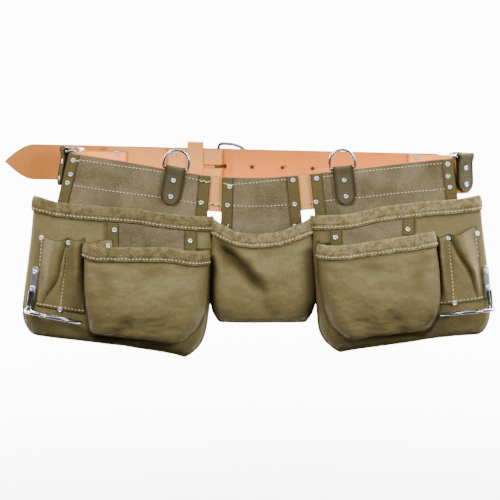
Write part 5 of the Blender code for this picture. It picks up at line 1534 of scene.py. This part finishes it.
# %% Hammer loop sizes
PLATE_WIDTH = 0.0105
PLATE_HEIGHT = 0.0490
PLATE_THICK = 0.0015
PLATE_STAND = 0.0030
LOOP_WIRE = 0.0020
LOOP_WIDTH = 0.0790
LOOP_REACH = 0.0600
PLATE_RIVETS = (0.0170, -0.0060)
STEM_OVERLAP = 0.014
STEM_DROP = 0.011
STEM_SPREAD = 0.0026
RING_TILT = 0.128
HammerLoop = namedtuple("HammerLoop", "side top_x low_x top_z ring_x ring_y ring_z ring_fall")
HAMMER_LOOPS = {
    "left": HammerLoop(-1, -0.3160, -0.3235, -0.1360, -0.2900, -0.1170, -0.2010, 0.20),
    "right": HammerLoop(1, 0.3050, 0.3135, -0.1350, 0.2800, -0.1170, -0.1940, 0.09),
}


def on_bag(bag, x, z, lift, step):
    """A spot lifted off a bag's front, with the direction out of the leather, read over a step each way."""
    slope_x = float(bag.face(x + step, z) - bag.face(x - step, z)) / (2 * step)
    slope_z = float(bag.face(x, z + step) - bag.face(x, z - step)) / (2 * step)
    out = Vector((slope_x, -1.0, slope_z)).normalized()
    return Vector((x, float(bag.face(x, z)), z)) + out * lift, out


print("hammer loops to make", len(HAMMER_LOOPS))

# %% Plates and rings
for name, loop in HAMMER_LOOPS.items():
    low_z = loop.top_z - PLATE_HEIGHT
    x, z = (loop.top_x + loop.low_x) / 2, (loop.top_z + low_z) / 2
    spot, out = on_bag(bags[name], x, z, PLATE_STAND, 0.004)
    up = Vector((loop.top_x - loop.low_x, 0, PLATE_HEIGHT)).normalized()
    up = (up - out * up.dot(out)).normalized()
    along = up.cross(out).normalized() * loop.side
    grid = []
    for height in np.linspace(-0.5, 0.5, 14):
        width = PLATE_WIDTH / 2 * min(1.0, math.sqrt(max(1 - (abs(height) * 2) ** 14, 0.0)) + 0.35)
        middle = spot + up * PLATE_HEIGHT * height + out * PLATE_THICK / 2
        grid.append([tuple(middle + along * width * share) for share in (-1, -0.5, 0, 0.5, 1)])
    grid = np.array(grid)
    plate = leather("hammer_plate_" + name, [grid], PLATE_THICK, [steel_look], tuple(out), edge=0.0004)
    settle(bake(plate))
    front = spot + out * (PLATE_THICK + LOOP_WIRE)
    weld_low = front - up * (PLATE_HEIGHT / 2 + STEM_DROP)
    weld_top = front - up * (PLATE_HEIGHT / 2 - STEM_OVERLAP)
    half_width = LOOP_WIDTH / 2 - LOOP_WIRE
    half_reach = LOOP_REACH / 2 - LOOP_WIRE
    ring = []
    for turn in np.radians(np.linspace(128, -180, 20)):
        side_way = half_width * math.cos(turn)
        ring.append((loop.ring_x - side_way * loop.side, loop.ring_y + half_reach * math.sin(turn),
                     loop.ring_z - side_way * loop.ring_fall - RING_TILT * half_reach * math.sin(turn)))
    inner = [weld_top - along * STEM_SPREAD, weld_low - along * STEM_SPREAD]
    outer = [weld_low + along * STEM_SPREAD, weld_top + along * STEM_SPREAD]
    hook = Vector(ring[-1]).lerp(outer[0], 0.5) + Vector((loop.side * LOOP_WIRE, 0, 0))
    route = spline([tuple(p) for p in [*inner, *ring, hook, *outer]], 5)
    piece = wire("hammer_loop_" + name, route, LOOP_WIRE, chrome_look)
    settle(piece, ["hammer_loop_" + name])
    for height in PLATE_RIVETS:
        rivet_spots.append((spot + out * PLATE_THICK + up * height, out))
print("rivets so far", len(rivet_spots))

# %% [markdown]
# ## Stitches
# The seams are thick waxed thread. Placing each stitch by hand would take days and a picture of stitches
# would look flat. So Geometry Nodes lay a small thread over each gap between needle holes. The lines come
# from the pieces above, so they stay on the leather.

# %% Stitch lines
PANEL_STITCHES = (
    ((-0.2593, 0.0094), (-0.2311, 0.0052), (-0.2029, 0.0009), (-0.1465, -0.0075), (-0.1184, -0.0132),
     (-0.0902, -0.0195)),
    ((-0.2720, -0.0259), (-0.2311, -0.0323), (-0.1508, -0.0429), (-0.0972, -0.0514), (-0.0775, -0.0535)),
    ((-0.0550, -0.0245), (-0.0409, -0.0249), (-0.0197, -0.0234), (0.0014, -0.0210), (0.0225, -0.0188),
     (0.0451, -0.0179)),
    ((-0.0521, -0.0553), (-0.0268, -0.0560), (-0.0056, -0.0559), (0.0155, -0.0553), (0.0465, -0.0536)),
    ((0.0648, -0.0154), (0.0930, -0.0132), (0.1296, -0.0082), (0.1916, -0.0012), (0.2550, 0.0052)),
    ((0.0648, -0.0511), (0.0860, -0.0485), (0.1310, -0.0443), (0.1916, -0.0372), (0.2480, -0.0323),
     (0.2691, -0.0301)),
)
GAP_STITCHES = (
    ((-0.0747, -0.0195), (-0.0677, -0.0219), (-0.0578, -0.0233)),
    ((-0.0776, -0.0537), (-0.0691, -0.0533), (-0.0578, -0.0558)),
    ((0.0465, -0.0169), (0.0550, -0.0145), (0.0649, -0.0151)),
    ((0.0494, -0.0544), (0.0578, -0.0534), (0.0649, -0.0516)),
)
OPEN_HOLE = (-0.0852, -0.0205)
# Loose thread ends: a distance forward, then places
THREAD_ENDS = (
    (-0.0312, ((-0.0570, -0.0233), (-0.0507, -0.0250), (-0.0430, -0.0258))),
    (-0.0335, ((-0.0584, -0.0870), (-0.0535, -0.0884), (-0.0518, -0.0849), (-0.0495, -0.0809))),
    (-0.0304, ((-0.0789, -0.0534), (-0.0719, -0.0516), (-0.0669, -0.0541), (-0.0634, -0.0522),
               (-0.0592, -0.0558), (-0.0549, -0.0564))),
    (-0.0314, ((-0.2662, 0.0090), (-0.2627, 0.0078), (-0.2592, 0.0093))),
    (-0.0330, ((-0.0908, -0.0186), (-0.0873, -0.0208), (-0.0845, -0.0194), (-0.0817, -0.0220),
               (-0.0760, -0.0203))),
)


def flat_row(places, y):
    """A smooth line through places on a flat wall."""
    return spline([(x, y, z) for x, z in places], 12)


stitch_lines += [flat_row(places, PANEL_FACE - 0.0008) for places in PANEL_STITCHES]
stitch_lines += [flat_row(places, FRONT_Y - 0.0006) for places in GAP_STITCHES]
# A dark disc paints the shadow in an empty rivet hole
shadow_disc = peg((OPEN_HOLE[0], PANEL_FACE - 0.0022, OPEN_HOLE[1]), (0, 1, 0), 0.0028, 0.0003)
shadow_disc.name = "open_rivet_hole"
settle(shadow_disc)
for number, (y, places) in enumerate(THREAD_ENDS):
    end = wire("thread_end_" + str(number), flat_row(places, y), 0.0007, thread_look)
    settle(end)

print("seams", len(stitch_lines), "and loose ends", len(THREAD_ENDS))

# %% Helpers for Geometry Nodes


def geometry_group(name, inputs):
    """An empty geometry group; gives the tree, its ends and the sockets' identifiers."""
    tree = bpy.data.node_groups.new(name, "GeometryNodeTree")
    tree.interface.new_socket(name="Geometry", in_out="INPUT", socket_type="NodeSocketGeometry")
    identifiers = {}
    for socket, kind in inputs:
        made = tree.interface.new_socket(name=socket, in_out="INPUT", socket_type=kind)
        identifiers[socket] = made.identifier
    tree.interface.new_socket(name="Geometry", in_out="OUTPUT", socket_type="NodeSocketGeometry")
    return tree, tree.nodes.new("NodeGroupInput"), tree.nodes.new("NodeGroupOutput"), identifiers


def run_geometry(name, points, edges, tree, values, attributes=None):
    """Runs a geometry group on loose points or lines and gives the plain mesh it makes."""
    mesh = bpy.data.meshes.new(name)
    mesh.from_pydata([tuple(point) for point in points], edges, [])
    for key, rows in (attributes or {}).items():
        layer = mesh.attributes.new(key, "FLOAT_VECTOR", "POINT")
        layer.data.foreach_set("vector", np.array(rows, float).ravel())
    piece = add_object(name, mesh)
    modifier = piece.modifiers.new("nodes", "NODES")
    modifier.node_group = tree
    for identifier, value in values.items():
        modifier[identifier] = value
    return bake(piece)


print("a tree runs on loose points or lines")

# %% The stitch tree
stitch_tree, tree_in, tree_out, stitch_ids = geometry_group(
    "stitches",
    [("Pitch", FLOAT), ("Stitch", FLOAT), ("Thread", FLOAT), ("Seed", "NodeSocketInt"),
     ("Material", "NodeSocketMaterial")],
)
new, link = stitch_tree.nodes.new, stitch_tree.links.new
to_curve = new("GeometryNodeMeshToCurve")
link(tree_in.outputs["Geometry"], to_curve.inputs["Mesh"])
resample = new("GeometryNodeResampleCurve")
resample.mode = "LENGTH"
link(to_curve.outputs["Curve"], resample.inputs["Curve"])
link(tree_in.outputs["Pitch"], resample.inputs["Length"])
ball = new("GeometryNodeMeshUVSphere")
ball.inputs["Segments"].default_value = 10
ball.inputs["Rings"].default_value = 8
ball.inputs["Radius"].default_value = 1.0
tangent = new("GeometryNodeInputTangent")
turned = new("FunctionNodeAlignRotationToVector")
turned.axis = "X"
link(tangent.outputs[0], turned.inputs["Vector"])
vary = new("FunctionNodeRandomValue")
vary.data_type = "FLOAT"
link(tree_in.outputs["Seed"], vary.inputs["Seed"])
vary.inputs[2].default_value = 0.82
vary.inputs[3].default_value = 1.12
length = new("ShaderNodeMath")
length.operation = "MULTIPLY"
link(tree_in.outputs["Stitch"], length.inputs[0])
link(vary.outputs[1], length.inputs[1])
half_length = new("ShaderNodeMath")
half_length.operation = "MULTIPLY"
half_length.inputs[1].default_value = 0.5
link(length.outputs[0], half_length.inputs[0])
size = new("ShaderNodeCombineXYZ")
link(half_length.outputs[0], size.inputs["X"])
link(tree_in.outputs["Thread"], size.inputs["Y"])
link(tree_in.outputs["Thread"], size.inputs["Z"])
place = new("GeometryNodeInstanceOnPoints")
link(resample.outputs["Curve"], place.inputs["Points"])
link(ball.outputs["Mesh"], place.inputs["Instance"])
link(turned.outputs["Rotation"], place.inputs["Rotation"])
link(size.outputs["Vector"], place.inputs["Scale"])
real = new("GeometryNodeRealizeInstances")
link(place.outputs["Instances"], real.inputs["Geometry"])
smooth = new("GeometryNodeSetShadeSmooth")
link(real.outputs["Geometry"], smooth.inputs["Geometry"])
paint = new("GeometryNodeSetMaterial")
link(smooth.outputs["Geometry"], paint.inputs["Geometry"])
link(tree_in.outputs["Material"], paint.inputs["Material"])
link(paint.outputs["Geometry"], tree_out.inputs["Geometry"])
print(stitch_tree.name, len(stitch_tree.nodes), "nodes")

# %% Sewing
STITCH_SETTINGS = {"Pitch": 0.0050, "Stitch": 0.0035, "Thread": 0.00066}
points, edges = [], []
for line in stitch_lines:
    start = len(points)
    points.extend(line)
    edges.extend((start + i, start + i + 1) for i in range(len(line) - 1))
values = {stitch_ids[key]: value for key, value in STITCH_SETTINGS.items()}
values[stitch_ids["Seed"]] = 4
values[stitch_ids["Material"]] = thread_look
stitches = run_geometry("stitching", points, edges, stitch_tree, values)
settle(stitches)
print("stitch lines", len(stitch_lines), "faces", made_pieces["stitching"])

# %% [markdown]
# ## Rivets
# Plated rivets hold what carries weight. Their hollow, domed head is turned from one profile. Copies could be
# placed one by one, but Geometry Nodes repeat it at every rivet, turned to face out of the leather.

# %% Rivet head
HEAD_RADIUS = 0.0037
HEAD_PROFILE = ((0.0, 0.0011), (0.30, 0.0010), (0.42, 0.0011), (0.52, 0.0016), (0.66, 0.0017), (0.85, 0.0013),
                (0.96, 0.0007), (1.0, 0.0001), (0.97, -0.0003), (0.0, -0.0003))


def make_head():
    """The rivet's head, turned from its profile."""
    count = 28
    points, faces = [], []
    for share, height in HEAD_PROFILE:
        for index in range(count):
            turn = 2 * math.pi * index / count
            radius = HEAD_RADIUS * share
            points.append((radius * math.cos(turn), radius * math.sin(turn), height))
    for ring in range(len(HEAD_PROFILE) - 1):
        for index in range(count):
            beside = (index + 1) % count
            faces.append((ring * count + index, (ring + 1) * count + index,
                          (ring + 1) * count + beside, ring * count + beside))
    head = mesh_object("rivet_head", points, faces, [zinc_look])
    work = bmesh.new()
    work.from_mesh(head.data)
    bmesh.ops.remove_doubles(work, verts=work.verts, dist=0.00001)
    bmesh.ops.recalc_face_normals(work, faces=work.faces)
    work.to_mesh(head.data)
    work.free()
    return head


print("head radius", HEAD_RADIUS)

# %% Rivet places
STRIP_RIVETS = (
    (-0.2689, 0.0089), (-0.2724, -0.0109), (-0.2770, -0.0231), (-0.0887, -0.0511), (-0.0486, -0.0285),
    (-0.0515, -0.0546), (0.0408, -0.0192), (0.0429, -0.0532), (0.0436, -0.0844), (0.0739, -0.0167),
    (0.0732, -0.0500), (0.2585, 0.0033), (0.2591, -0.0137), (0.2619, -0.0292),
)
# The pouch each rivet is on, its place and how far its head stands off the wall
BAG_RIVETS = (
    ("left", -0.2164, -0.1062, 0.0078), ("left", -0.2079, -0.0846, 0.0050),
    ("left", -0.1041, -0.1005, 0.0050), ("right", 0.1005, -0.0957, 0.0050),
    ("right", 0.1996, -0.0839, 0.0050), ("left", -0.3092, -0.0960, 0.0024),
    ("left", -0.2719, -0.1019, 0.0062), ("left", -0.2843, -0.1955, 0.0024),
    ("right", 0.2553, -0.0960, 0.0062), ("right", 0.2960, -0.0905, 0.0024),
    ("right", 0.2650, -0.1860, 0.0024),
)
BACK_RIVETS = (
    (-0.2102, 0.0151), (-0.1284, 0.0143), (-0.0789, 0.0136), (-0.0775, -0.0166), (0.2188, 0.0093),
)
for x, z in STRIP_RIVETS:
    rivet_spots.append((Vector((x, PANEL_FACE - GAP - 0.0020, z)), FORWARD))
for name, x, z, lift in BAG_RIVETS:
    rivet_spots.append(on_bag(bags[name], x, z, lift, 0.003))
back_spots = [(Vector((x, FOLD_Y - BELT_THICK / 2, z)), FORWARD) for x, z in BACK_RIVETS]

print("rivets", len(rivet_spots), "and", len(back_spots))

# %% The rivet tree
rivet_tree, tree_in, tree_out, rivet_ids = geometry_group(
    "rivets", [("Head", "NodeSocketObject"), ("Seed", "NodeSocketInt"), ("Material", "NodeSocketMaterial")]
)
new, link = rivet_tree.nodes.new, rivet_tree.links.new
info = new("GeometryNodeObjectInfo")
link(tree_in.outputs["Head"], info.inputs["Object"])
facing = new("GeometryNodeInputNamedAttribute")
facing.data_type = "FLOAT_VECTOR"
facing.inputs["Name"].default_value = "facing"
turned = new("FunctionNodeAlignRotationToVector")
turned.axis = "Z"
link(facing.outputs["Attribute"], turned.inputs["Vector"])
vary = new("FunctionNodeRandomValue")
vary.data_type = "FLOAT"
link(tree_in.outputs["Seed"], vary.inputs["Seed"])
vary.inputs[2].default_value = 0.94
vary.inputs[3].default_value = 1.05
place = new("GeometryNodeInstanceOnPoints")
link(tree_in.outputs["Geometry"], place.inputs["Points"])
link(info.outputs["Geometry"], place.inputs["Instance"])
link(turned.outputs["Rotation"], place.inputs["Rotation"])
link(vary.outputs[1], place.inputs["Scale"])
real = new("GeometryNodeRealizeInstances")
link(place.outputs["Instances"], real.inputs["Geometry"])
paint = new("GeometryNodeSetMaterial")
link(real.outputs["Geometry"], paint.inputs["Geometry"])
link(tree_in.outputs["Material"], paint.inputs["Material"])
link(paint.outputs["Geometry"], tree_out.inputs["Geometry"])
print(rivet_tree.name, len(rivet_tree.nodes), "nodes")

# %% Riveting
head = make_head()
cad_rivets = [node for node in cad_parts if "rivet" in node]
rivet_sets = (("rivets", rivet_spots, zinc_look, cad_rivets), ("back_rivets", back_spots, steel_look, ()))
for name, spots, look, nodes in rivet_sets:
    values = {rivet_ids["Head"]: head, rivet_ids["Seed"]: 7, rivet_ids["Material"]: look}
    facings = {"facing": [tuple(out) for spot, out in spots]}
    settle(run_geometry(name, [spot for spot, out in spots], [], rivet_tree, values, facings), nodes)
    print(name, len(spots))
bpy.data.objects.remove(head)

# %% Finish
print("pieces", len(made_pieces), "faces", sum(made_pieces.values()))
